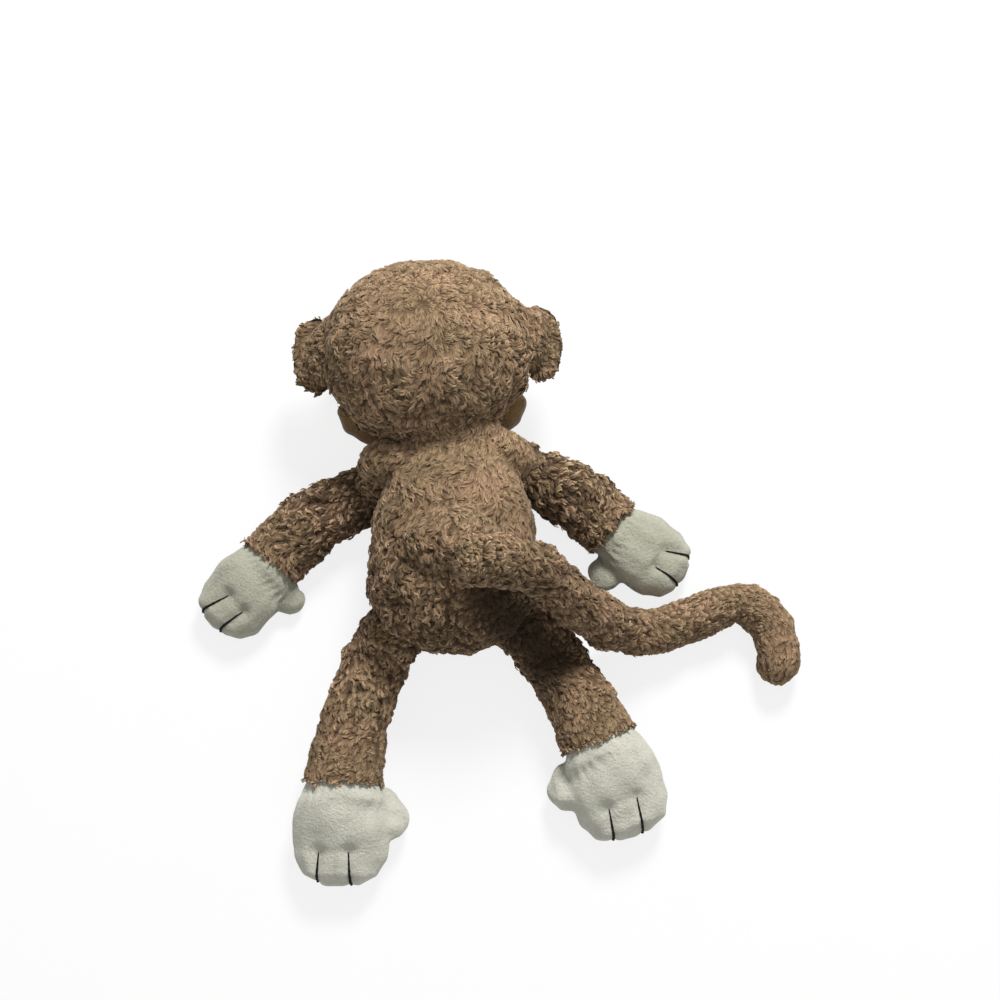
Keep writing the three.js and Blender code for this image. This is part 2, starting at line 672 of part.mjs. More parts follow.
// One leg and its foot
function addLeg(side, name, hipAngle, headings, reach) {
  const hipMiddle = torsoLine(hipRounding - torsoBelow);
  const across = Math.cos(hipAngle * degree) / (hipWidth / 2);
  const along = Math.sin(hipAngle * degree) / hipRounding;
  const toEdge = 1 / Math.hypot(across, along);
  const middle = place(hipMiddle.x, hipMiddle.y, hipSeamHeight);
  const root = onward(middle, hipAngle, toEdge - limbSunk);
  const swing = bend(`leg_${name}`, root, headings[0], -legForward, legBack);
  const shapes = [
    [0, legSeamLength, sewnEdge],
    [legShape.upperThigh, thighWidth, upperThighFill * thighHeight],
    [legShape.thigh, thighWidth, thighHeight],
    [legShape.shin, (thighWidth + ankleWidth) / 2, (thighHeight + ankleHeight) / 2],
    [1, ankleWidth, ankleHeight],
  ];
  const stations = limbStations(root, headings[0], headings, reach, shapes);
  const ankle = stations[stations.length - 1];
  const pivot = place(ankle.x, ankle.y, ankle.z);
  const flex = bend(`ankle_${name}`, pivot, ankle.facing, -ankleFlex, ankleFlex);
  const seatShape = { ...flex, halfLength: ankleWidth / 2, radius: ankleHeight / 2 };
  const names = { skin: `leg_${name}`, filling: `leg_stuffing_${name}` };
  addSleeve(names, stations, roomBeside(torsoGrown, swing), flex, seatShape, ankleFlex);
  const toePointing = ankle.facing - side * bigToeAngle;
  const footNames = { upper: `foot_top_${name}`, lower: `sole_${name}`, filling: `foot_stuffing_${name}` };
  addMitt(footNames, place(ankle.x, ankle.y), {
    pointing: ankle.facing,
    seatShape,
    length: footLength,
    width: footWidth,
    height: footHeight,
    seamHeight: footHeight / 2,
    digit: { length: bigToeLength, width: bigToeWidth, from: bigToeFrom, pointing: toePointing },
  });
}

// The tail's route: out of the seam in the middle of the back, over the right hip, down to the
// floor and along it. flank is a place on the hip, a tail's radius out from its cloth.
const routeEnd = tailOverHip.length + tailPastHip.length; // number of the route's last place
const tailRadius = (share) => (tailTipWidth + (tailWidth - tailTipWidth) * (1 - share) ** 2) / 2;

function tailCurve() {
  const radius = tailWidth / 2 + 2 * seamGap;
  const middle = torsoLine(tailRootAt);
  const flank = (angle, y) => {
    const [across, up] = [Math.cos(angle * degree), Math.sin(angle * degree)];
    const out = place(across / hipWidth, 0, up / hipHeight).normalize().multiplyScalar(radius);
    const at = place((hipWidth / 2) * across, y, restLift(hipHeight) + (hipHeight / 2) * up);
    return at.add(out).add(place(middle.x, 0, 0));
  };
  const backTop = hipHeight - pressedFlat + seamGap + sewnEdge / 2;
  const beyondHip = tailPastHip.map((past, index) => {
    const lyingLift = tailRadius((tailOverHip.length + 1 + index) / routeEnd) - pressedFlat;
    return place(hipWidth / 2 + past, tailAlongBody[index], tailDrop[index] ?? lyingLift);
  });
  return new THREE.CatmullRomCurve3([
    place(middle.x, tailRootAt, backTop),
    ...tailOverHip.map((angle) => flank(angle, tailRootAt)),
    ...beyondHip,
  ]);
}

function addTail() {
  const curve = tailCurve();
  const points = curve.points;
  const [floorBend, tipBend] = tailBends;
  const length = curve.getLength();
  const plan = (index) => {
    const way = curve.getTangent(index / routeEnd);
    return Math.atan2(way.y, way.x) / degree;
  };
  const dome = (section, tangent, way) => domeTurns.concat(nearPole).map((turn) => {
    const scale = Math.cos(turn * degree);
    const centre = section.centre.clone();
    centre.addScaledVector(tangent, way * section.wide * Math.sin(turn * degree));
    return { ...section, centre, wide: section.wide * scale, tall: section.tall * scale };
  });
  const tube = (from, to, inset) => {
    const sections = [];
    const count = Math.ceil((to - from) * tailRingsBetween);
    for (let index = 0; index <= count; index += 1) {
      const share = (from + ((to - from) * index) / count) / routeEnd;
      const centre = curve.getPoint(share);
      const tangent = curve.getTangent(share);
      const across = place(-tangent.y, tangent.x).normalize();
      const up = tangent.clone().cross(across);
      const fromRoot = share * length;
      const filled = Math.min(fromRoot / tailPinch, 1);
      const wide = tailRadius(share) - inset;
      const rise = (tailRadius(share) - sewnEdge / 2) * Math.sin(filled * 90 * degree);
      const tall = sewnEdge / 2 + rise - inset;
      const section = { centre, across, up, wide, tall, filled: 2 };
      if (from === 0 && sections.length === 0) centre.addScaledVector(tangent, inset);
      if (tall > least) sections.push(section);
      if (index === 0 && from > 0) sections.unshift(...dome(section, tangent, -1).reverse());
      if (index === count && to === routeEnd) sections.push(...dome(section, tangent, 1));
    }
    const ends = [sections[0], sections[sections.length - 1]].map((section) => section.centre);
    const sides = inset > 0 ? fillingSides : limbSides;
    return ringForm(sections.map((section) => sectionRing(section, sides)), ...ends);
  };
  const pastRim = (index, flex) => {
    const radius = tailRadius(index / routeEnd);
    const back = radius * Math.sin((flex + rimClearance) * degree);
    const axisAngle = plan(index) - 90;
    const cup = seat({ pivot: points[index], axisAngle, halfLength: radius, radius, filled: 2 });
    return beyond(points[index], curve.getTangent(index / routeEnd), -back).add(cup);
  };
  const lift = bend('tail_base', points[0], 0, 0, tailLiftOver);
  bend('tail_middle', points[floorBend], plan(floorBend), -tailBend / 2, tailBend);
  bend('tail_tip', points[tipBend], plan(tipBend), -tailCurl, tailCurl);
  const slitAt = curve.getPoint((tipBend + 1) / routeEnd);
  const slitSize = place(closingSlit, 2 * seamGap, tailWidth / 2);
  const slit = block(place(slitAt.x, slitAt.y), slitSize, plan(tipBend + 1));
  const stretch = (name, from, to, cuts) => {
    const form = (inset) => tube(from, to, inset).intersect(above(inset));
    addPileTube({ skin: `tail_${name}`, filling: `tail_${name}_stuffing` }, form, cuts);
  };
  stretch('base', 0, floorBend, roomBeside(torsoGrown, lift).add(pastRim(floorBend, tailBend)));
  stretch('middle', floorBend, tipBend, pastRim(tipBend, tailCurl));
  stretch('tip', tipBend, routeEnd, slit);
}

addTorso();
addHead();
addEar(-1, 'left');
addEar(1, 'right');
addArm(-1, 'left', { headings: armHeadingsLeft, reach: armReachLeft, handTurn: handTurnLeft });
addArm(1, 'right', {
  headings: armHeadingsRight,
  reach: armReachRight,
  elbowLift: elbowLiftRight,
  handTurn: handTurnRight,
});
addLeg(-1, 'left', hipAngleLeft, legHeadingsLeft, legReachLeft);
addLeg(1, 'right', hipAngleRight, legHeadingsRight, legReachRight);
addTail();

// The places, axes and ranges of the bends
export { bends };
export default monkey;
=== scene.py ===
import json
import math

import bmesh
import bpy
import numpy as np
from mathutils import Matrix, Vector
from mathutils.bvhtree import BVHTree
from mathutils.kdtree import KDTree


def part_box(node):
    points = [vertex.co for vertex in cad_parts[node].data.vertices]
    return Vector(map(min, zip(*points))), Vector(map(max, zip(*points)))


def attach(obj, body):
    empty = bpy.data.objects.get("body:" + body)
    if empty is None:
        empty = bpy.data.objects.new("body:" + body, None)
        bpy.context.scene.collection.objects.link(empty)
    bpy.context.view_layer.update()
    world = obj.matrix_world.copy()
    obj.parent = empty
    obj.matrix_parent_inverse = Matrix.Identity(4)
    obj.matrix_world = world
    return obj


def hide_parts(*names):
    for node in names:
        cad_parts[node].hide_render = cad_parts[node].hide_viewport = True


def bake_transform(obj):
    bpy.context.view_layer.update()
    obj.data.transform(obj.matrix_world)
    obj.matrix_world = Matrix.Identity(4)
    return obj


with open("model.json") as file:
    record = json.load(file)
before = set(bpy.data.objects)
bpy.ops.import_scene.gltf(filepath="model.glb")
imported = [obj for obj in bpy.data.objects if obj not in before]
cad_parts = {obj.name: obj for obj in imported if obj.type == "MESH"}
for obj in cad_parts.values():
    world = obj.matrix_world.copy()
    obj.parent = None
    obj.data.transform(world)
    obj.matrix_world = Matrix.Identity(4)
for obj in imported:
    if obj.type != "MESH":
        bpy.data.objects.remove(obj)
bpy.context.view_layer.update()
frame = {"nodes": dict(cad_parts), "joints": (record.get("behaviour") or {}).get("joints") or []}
scene = bpy.context.scene
scene.view_settings.view_transform = "Standard"
mm = 0.001
joints = {joint["name"]: joint for joint in frame["joints"]}


def pivot(name):
    return Vector(joints[name]["pos_m"])


# the photograph's view: from above, a little from the feet's side
view = {
    "azimuth": 4.1,  # degrees
    "elevation": 76.0,
    "distance": 0.9,
    "target": (0.0228, 0.0364, 0.038),
    "fieldOfView": 34.85,  # degrees across the image
}

lamps = {
    "windowLamp": {"from": (0.2, 1.0, 1.0), "distance": 1.6, "size": 0.45, "power": 33.0},
    "roomLamp": {"from": (0.3, -0.6, 1.0), "distance": 1.8, "size": 1.6, "power": 4.0},
}
lampAim = Vector((0.02, 0.0, 0.03))

surroundings = {
    "skyStrength": 0.42,
    "floorSize": 6.0,
    "floorColour": (0.8, 0.8, 0.8),
    "floorWhiteness": 0.82,  # share of plain white that the camera sees in place of the lit floor
}


# adds a camera or lamp that looks back at the target from that way
def addFacing(name, data, target, way, distance):
    item = bpy.data.objects.new(name, data)
    item.location = target + way * distance
    item.rotation_euler = way.to_track_quat("Z", "Y").to_euler()
    scene.collection.objects.link(item)
    return item


def addCamera(settings):
    turn = math.radians(settings["azimuth"])
    lift = math.radians(settings["elevation"])
    back = Vector((math.sin(turn) * math.cos(lift), -math.cos(turn) * math.cos(lift), math.sin(lift)))
    data = bpy.data.cameras.new("photoCamera")
    data.sensor_fit = "HORIZONTAL"
    data.angle = math.radians(settings["fieldOfView"])
    data.clip_start = 0.05
    scene.camera = addFacing("photoCamera", data, Vector(settings["target"]), back, settings["distance"])


def addLamp(name, settings):
    data = bpy.data.lights.new(name, "AREA")
    data.shape = "DISK"
    data.size = settings["size"]
    data.energy = settings["power"]
    addFacing(name, data, lampAim, Vector(settings["from"]).normalized(), settings["distance"])


# the output of a node, which takes part in sums
class Wire:
    def __init__(self, finish, socket):
        self.finish = finish
        self.socket = socket

    # another output of the same node
    def beside(self, output):
        return Wire(self.finish, self.socket.node.outputs[output])

    def maths(self, operation, first, second):
        return self.finish.add("ShaderNodeMath", {"operation": operation}, {0: first, 1: second})

    def __add__(self, other):
        return self.maths("ADD", self, other)

    def __radd__(self, other):
        return self.maths("ADD", other, self)

    def __sub__(self, other):
        return self.maths("SUBTRACT", self, other)

    def __rsub__(self, other):
        return self.maths("SUBTRACT", other, self)

    def __mul__(self, other):
        return self.maths("MULTIPLY", self, other)

    def __rmul__(self, other):
        return self.maths("MULTIPLY", other, self)


# a material with one main shader
class Finish:
    def __init__(self, name, constants):
        self.material = bpy.data.materials.new(name)
        self.material.use_nodes = True
        self.tree = self.material.node_tree
        self.shader = self.tree.nodes["Principled BSDF"]
        for socket, value in constants.items():
            self.shader.inputs[socket].default_value = value

    def add(self, kind, settings=None, inputs=None, output=0):
        node = self.tree.nodes.new(kind)
        for key, value in (settings or {}).items():
            if key == "stops":
                self.setStops(node.color_ramp, value)
            else:
                setattr(node, key, value)
        for key, value in (inputs or {}).items():
            if isinstance(value, Wire):
                self.tree.links.new(value.socket, node.inputs[key])
            else:
                node.inputs[key].default_value = value
        return Wire(self, node.outputs[output])

    def setStops(self, ramp, stops):
        while len(ramp.elements) < len(stops):
            ramp.elements.new(0.5)
        for element, (place, colour) in zip(ramp.elements, stops):
            element.position = place
            element.color = colour

    def feed(self, socket, wire):
        self.tree.links.new(wire.socket, self.shader.inputs[socket])

    def place(self):
        return self.add("ShaderNodeTexCoord", output="Object")

    def noise(self, scale, detail=3.0, roughness=0.55, vector=None):
        inputs = {"Vector": vector or self.place(), "Scale": scale, "Detail": detail, "Roughness": roughness}
        return self.add("ShaderNodeTexNoise", inputs=inputs)

    def ramp(self, factor, *stops):
        return self.add("ShaderNodeValToRGB", {"stops": stops}, {"Fac": factor})

    def mix(self, factor, first, second, blending="MIX"):
        settings = {"data_type": "RGBA", "blend_type": blending}
        return self.add("ShaderNodeMix", settings, {0: factor, 6: first, 7: second}, output=2)

    def paint(self, factor, first, second, blending="MIX"):
        self.feed("Base Color", self.mix(factor, first, second, blending))

    def bump(self, height, strength, distance):
        inputs = {"Height": height, "Strength": strength, "Distance": distance}
        self.feed("Normal", self.add("ShaderNodeBump", inputs=inputs))


# a colour as a screen shows it, from 0 to 255, for a shader
def shade(red, green, blue):
    shares = [part / 255 for part in (red, green, blue)]
    return tuple(s / 12.92 if s < 0.04 else ((s + 0.055) / 1.055) ** 2.4 for s in shares) + (1.0,)


pileLook = {
    # painted shade: the colour darkens from the tip to the root, for the shade deep in the pile
    "root": shade(66, 52, 39),
    "middle": shade(162, 140, 115),
    "tip": shade(214, 194, 168),
    # tints from tuft to tuft, from an olive brown to a reddish one
    "tints": [shade(216, 213, 198), shade(236, 228, 216), shade(255, 243, 235)],
    "strands": (260.0, 1.4),  # how fine the streaks are across a tuft and along it
    "streaks": [shade(214, 208, 200), shade(255, 255, 255)],
    "streaked": 0.8,
}


# every tuft is painted from its root, v = 0, to its tip, v = 1, darker towards the root as painted shade,
# and u is the tuft's own tint
def pileFinish(settings):
    finish = Finish("brownPile", {"Roughness": 0.95, "Sheen Weight": 0.05, "Sheen Roughness": 0.5,
                                  "Specular IOR Level": 0.25})
    palette = finish.add("ShaderNodeUVMap", {"uv_map": "OFBake"})
    tint = finish.add("ShaderNodeSeparateXYZ", inputs={0: palette})
    along = tint.beside(1)
    across, length = settings["strands"]
    stretched = finish.add("ShaderNodeCombineXYZ", inputs={0: tint * across, 1: along * length})
    strands = finish.noise(1.0, 2.0, vector=stretched)
    body = finish.ramp(along, (0.0, settings["root"]), (0.5, settings["middle"]), (1.0, settings["tip"]))
    tints = finish.ramp(tint, *[(0.1 + 0.4 * k, colour) for k, colour in enumerate(settings["tints"])])
    tinted = finish.mix(1.0, body, tints, "MULTIPLY")
    streaks = finish.ramp(strands, *zip((0.3, 0.7), settings["streaks"]))
    finish.paint(settings["streaked"], tinted, streaks, "MULTIPLY")
    return finish.material


# short velour: a fine nap, with painted sheen in patches where it catches the light
def napFinish(name, *colours):
    pale, deep, stain = (shade(*colour) for colour in colours)
    finish = Finish(name, {"Roughness": 0.9, "Sheen Weight": 0.35, "Sheen Roughness": 0.45,
                           "Specular IOR Level": 0.25})
    patches = finish.noise(90.0)
    nap = finish.noise(620.0, 3.0, 0.7)
    wear = finish.noise(28.0, 2.0)
    cloth = finish.mix(patches * 0.45 + nap * 0.55, deep, pale)
    worn = finish.ramp(wear, (0.52, (0, 0, 0, 1)), (0.78, (1, 1, 1, 1)))
    finish.paint(worn * 0.35, cloth, stain)
    finish.bump(nap + patches * 0.4, 0.9, 0.0011)
    return finish.material


# twisted thread, its strands running slantwise
def threadFinish(name, colour, sheenColour, twist):
    finish = Finish(name, {"Roughness": 0.8, "Specular IOR Level": 0.2})
    inputs = {"Vector": finish.place(), "Scale": twist, "Distortion": 1.5, "Detail": 2.0}
    strands = finish.add("ShaderNodeTexWave", {"bands_direction": "DIAGONAL"}, inputs, output=1)
    finish.paint(strands, colour, sheenColour)
    finish.bump(strands, 0.6, 0.0003)
    return finish.material


# crimped white stuffing fibre
def fibreFinish():
    finish = Finish("fibreFill", {"Roughness": 0.85, "Sheen Weight": 0.5})
    clumps = finish.noise(60.0, 4.0)
    fibres = finish.noise(900.0, 2.0, 0.7)
    finish.paint(clumps * 0.6 + fibres * 0.4, shade(206, 201, 190), shade(250, 249, 244))
    finish.bump(clumps + fibres * 0.4, 0.8, 0.002)
    return finish.material


# polished black plastic with faint rubbed marks
def eyeFinish():
    finish = Finish("blackPlastic", {"Coat Weight": 0.6, "Coat Roughness": 0.05})
    rubs = finish.noise(420.0, 4.0, 0.6)
    depth = finish.noise(120.0, 2.0)
    finish.paint(depth, shade(12, 9, 7), shade(30, 22, 17))
    finish.feed("Roughness", rubs * 0.22 + 0.04)
    finish.bump(rubs, 0.08, 0.0001)
    return finish.material


# milky moulded plastic with flow marks
def washerFinish():
    finish = Finish("milkyPlastic", {"Specular IOR Level": 0.5})
    flow = finish.noise(260.0, 4.0, 0.6)
    finish.paint(flow, shade(206, 204, 196), shade(232, 231, 225))
    finish.feed("Roughness", flow * 0.25 + 0.35)
    finish.bump(flow, 0.25, 0.0003)
    return finish.material


# smooth noise from about -1 to 1, with that wavelength
def waves(points, seed, wavelength, count=9):
    chance = np.random.default_rng(seed)
    ways = chance.normal(size=(count, 3))
    ways /= np.linalg.norm(ways, axis=1)[:, None]
    pitch = 2 * np.pi / wavelength * chance.uniform(0.7, 1.5, count)
    phases = chance.uniform(0, 7, count)
    return np.sin(points @ (ways * pitch[:, None]).T + phases).sum(1) / math.sqrt(count)


def unit(vectors):
    return vectors / np.maximum(np.linalg.norm(vectors, axis=-1), 1e-12)[..., None]


def awayFrom(points, place):
    return np.linalg.norm(points - np.array(place), axis=1)


# 1 in the middle, and hardly anything at twice the reach
def fade(distance, reach):
    return np.exp(-((distance / reach) ** 2))


# how far along a line each of its points is
def reachAlong(line):
    return np.concatenate([[0], np.cumsum(np.linalg.norm(np.diff(line, axis=0), axis=1))])


# the places of a line whose own points lie at marks
def between(places, marks, line):
    return np.stack([np.interp(places, marks, column) for column in line.T], axis=1)


# adds up the vectors that belong to the same point
def sumBy(index, vectors, count):
    return np.stack([np.bincount(index, column, count) for column in vectors.T], axis=1)


# faces is a list of arrays with three or four columns; uvs has a pair for each point
def meshOf(name, points, faces, uvs=None):
    mesh = bpy.data.meshes.new(name)
    corners = np.concatenate([f.ravel() for f in faces])
    sizes = np.concatenate([np.full(len(f), f.shape[1]) for f in faces])
    starts = np.concatenate([[0], np.cumsum(sizes)[:-1]])
    mesh.vertices.add(len(points))
    mesh.vertices.foreach_set("co", points.astype(np.float32).ravel())
    mesh.loops.add(len(corners))
    mesh.loops.foreach_set("vertex_index", corners.astype(np.int32))
    mesh.polygons.add(len(sizes))
    mesh.polygons.foreach_set("loop_start", starts.astype(np.int32))
    mesh.polygons.foreach_set("use_smooth", np.ones(len(sizes), bool))
    mesh.update(calc_edges=True)
    if uvs is not None:
        layer = mesh.uv_layers.new(name="OFBake")
        layer.uv.foreach_set("vector", uvs[corners].astype(np.float32).ravel())
    return mesh


def addPiece(name, material, points, faces, uvs=None):
    mesh = meshOf(name, points, faces, uvs)
    mesh.materials.append(material)
    piece = bpy.data.objects.new(name, mesh)
    scene.collection.objects.link(piece)
    return piece


# a closed body of points and four-sided faces
class Form:
    def __init__(self, points, quads):
        self.points = points
        self.quads = quads

    def normals(self):
        a, b, c, d = (self.points[self.quads[:, k]] for k in range(4))
        across = np.repeat(np.cross(c - a, d - b), 4, axis=0)
        return unit(sumBy(self.quads.ravel(), across, len(self.points)))

    def edges(self):
        pairs = np.concatenate([self.quads[:, [k, (k + 1) % 4]] for k in range(4)])
        return np.unique(np.sort(pairs, axis=1), axis=0)

    # evens the surface out and keeps its size
    def smooth(self, rounds, inward=0.5, outward=-0.52):
        edges = self.edges()
        first, second = edges.T
        size = len(self.points)
        count = np.maximum(np.bincount(edges.ravel(), minlength=size), 1)[:, None]
        for turn in range(rounds * 2):
            share = inward if turn % 2 == 0 else outward
            total = sumBy(first, self.points[second], size) + sumBy(second, self.points[first], size)
            self.points = self.points + share * (total / count - self.points)
        return self

    def push(self, distance):
        self.points = self.points + self.normals() * np.reshape(distance, (-1, 1))
        return self

    # nothing goes below the floor
    def rest(self, height=0.0):
        self.points[:, 2] = np.maximum(self.points[:, 2], height)
        return self

    # keeps the largest of the bodies that the form is made of
    def outer(self):
        labels = np.arange(len(self.points))
        first, second = self.edges().T
        while True:
            lowest = labels.copy()
            np.minimum.at(lowest, first, labels[second])
            np.minimum.at(lowest, second, labels[first])
            lowest = lowest[lowest]
            if (lowest == labels).all():
                break
            labels = lowest

        def span(label):
            own = self.points[labels == label]
            return (own.max(0) - own.min(0)).sum()

        return self.part(labels[self.quads[:, 0]] == max(np.unique(labels), key=span))

    def part(self, kept):
        used, quads = np.unique(self.quads[kept], return_inverse=True)
        return Form(self.points[used], quads.reshape(-1, 4))

    def centres(self):
        return self.points[self.quads].mean(1)

    def tree(self):
        return BVHTree.FromPolygons(self.points.tolist(), self.quads.tolist())


# a round lump, for where a part fills out more than its solid: half its size along way, across it and up
def lump(centre, way, halves):
    ball = bmesh.new()
    bmesh.ops.create_icosphere(ball, subdivisions=3, radius=1.0)
    points = np.array([v.co for v in ball.verts]) * halves
    faces = np.array([[v.index for v in f.verts] for f in ball.faces])
    ball.free()
    ahead = np.array(Vector(way).normalized())
    across = unit(np.cross((0.0, 0.0, 1.0), ahead))
    axes = np.stack([ahead, across, np.cross(ahead, across)])
    return points @ axes + np.array(centre), faces


def readAll(items, key, kind, width):
    values = np.empty(len(items) * width, kind)
    items.foreach_get(key, values)
    return values.reshape(-1, width)


# one closed body round those CAD solids, and round the lumps with them
def formOf(nodes, grain, rounds, lumps=()):
    bodies = list(lumps)
    for node in nodes:
        mesh = frame["nodes"][node].data
        mesh.calc_loop_triangles()
        bodies.append((readAll(mesh.vertices, "co", np.float32, 3),
                       readAll(mesh.loop_triangles, "vertices", np.int32, 3)))
    starts = np.cumsum([0] + [len(points) for points, _ in bodies])
    faces = [corners + start for (_, corners), start in zip(bodies, starts)]
    mesh = meshOf("solid", np.concatenate([points for points, _ in bodies]), faces)
    solid = bpy.data.objects.new("solid", mesh)
    scene.collection.objects.link(solid)
    remesh = solid.modifiers.new("remesh", "REMESH")
    remesh.mode = "VOXEL"
    remesh.voxel_size = grain
    result = solid.evaluated_get(bpy.context.evaluated_depsgraph_get()).to_mesh()
    form = Form(readAll(result.vertices, "co", np.float32, 3).astype(float),
                readAll(result.loops, "vertex_index", np.int32, 1).reshape(-1, 4).astype(int))
    assert len(form.quads) == len(result.polygons)  # every face has four sides
    solid.to_mesh_clear()
    bpy.data.objects.remove(solid)
    bpy.data.meshes.remove(mesh)
    return form.outer().smooth(rounds)


# which of the points lie in one of those forms, deeper than that
def hidden(nearby, points, depth):
    result = np.zeros(len(points), bool)
    for tree in nearby:
        for index, point in enumerate(points):
            if not result[index]:
                place, normal, _, distance = tree.find_nearest(point)
                result[index] = (Vector(point) - place).dot(normal) < 0 and distance > depth
    return result


pile = {
    "spacing": 1.26 * mm,
    "tries": 7,  # places drawn for each cell of a grid with that spacing; one tuft grows in it
    "length": 5.9 * mm,
    "shortest": 1.5 * mm,
    "width": 1.35 * mm,
    "sunk": 0.2 * mm,
    "stands": (52, 66),  # degrees that a tuft's root leans from upright
    "curls": (108, 142),  # degrees that its tip leans from upright, so that it turns back down
    "swirl": 48,  # degrees that the lie of the pile wanders
    "swirlEvery": 28 * mm,
    "clumpEvery": 10 * mm,
    "clumpTurn": 30,  # degrees between the lie of one clump and the next
    "lockEvery": 3.4 * mm,  # tufts that stand that close together make up one lock
    "lockTurn": 20,
    "lockBend": 22,
    "loose": 9,  # degrees that single tufts stray from their lock
    "crimp": 50,  # degrees that a lock wriggles to each side
    "crimps": 1.25,  # waves along a lock
    "shade": 0.65,  # painted shade: how dark the colour gets in the furrows between curly clumps
    "lockContrast": 0.74,  # painted shade: how much darker the edges of a lock are painted
    "lockGather": 0.4,  # share of the way that a tuft's tip is drawn to the middle of its lock
    "lockHeight": 0.65 * mm,  # how far the middle of a lock stands out
    "partings": 1.1 * mm,  # depth of the furrows between clumps
    "unevenness": 0.5 * mm,
    "unevennessEvery": 17 * mm,
    "mostRelief": 1.7,  # up to which partings and unevenness grow with how curly the pile is
    "tintSpread": 0.24,
    "tintEvery": 34 * mm,
    "hiddenDepth": 1.2 * mm,  # a tuft that starts deeper than that in a neighbour is left out
    "under": 0.55 * mm,  # the cloth that carries the pile lies that far below the solid's surface
    "pressed": 0.6,  # share of the tufts that is kept where the toy lies on them
    "pressedBelow": 2.5 * mm,
    "lowest": 0.15 * mm,
    "lowestCloth": 1.3 * mm,
}
ringShares = np.array([0.0, 0.22, 0.45, 0.68, 0.88, 1.0])
ringWidths = np.array([0.8, 1.0, 1.0, 0.95, 0.7, 0.0])
ridgeHeight = 0.45  # of a tuft's width


# 1 in the furrows between clumps of pile, and 0 away from them
def furrows(points, seed):
    first = waves(points, seed + 3, pile["clumpEvery"])
    second = waves(points, seed + 7, pile["clumpEvery"] * 0.7)
    return np.maximum(fade(first, 0.2), 0.75 * fade(second, 0.16))


# picks one of the points in each cell of a grid
def onePerCell(points, size):
    stride = 4001  # more than the cells in a row
    cells = np.floor(points / size).astype(np.int64)
    keys = (cells[:, 0] * stride + cells[:, 1]) * stride + cells[:, 2]
    return np.unique(keys, return_index=True)[1]
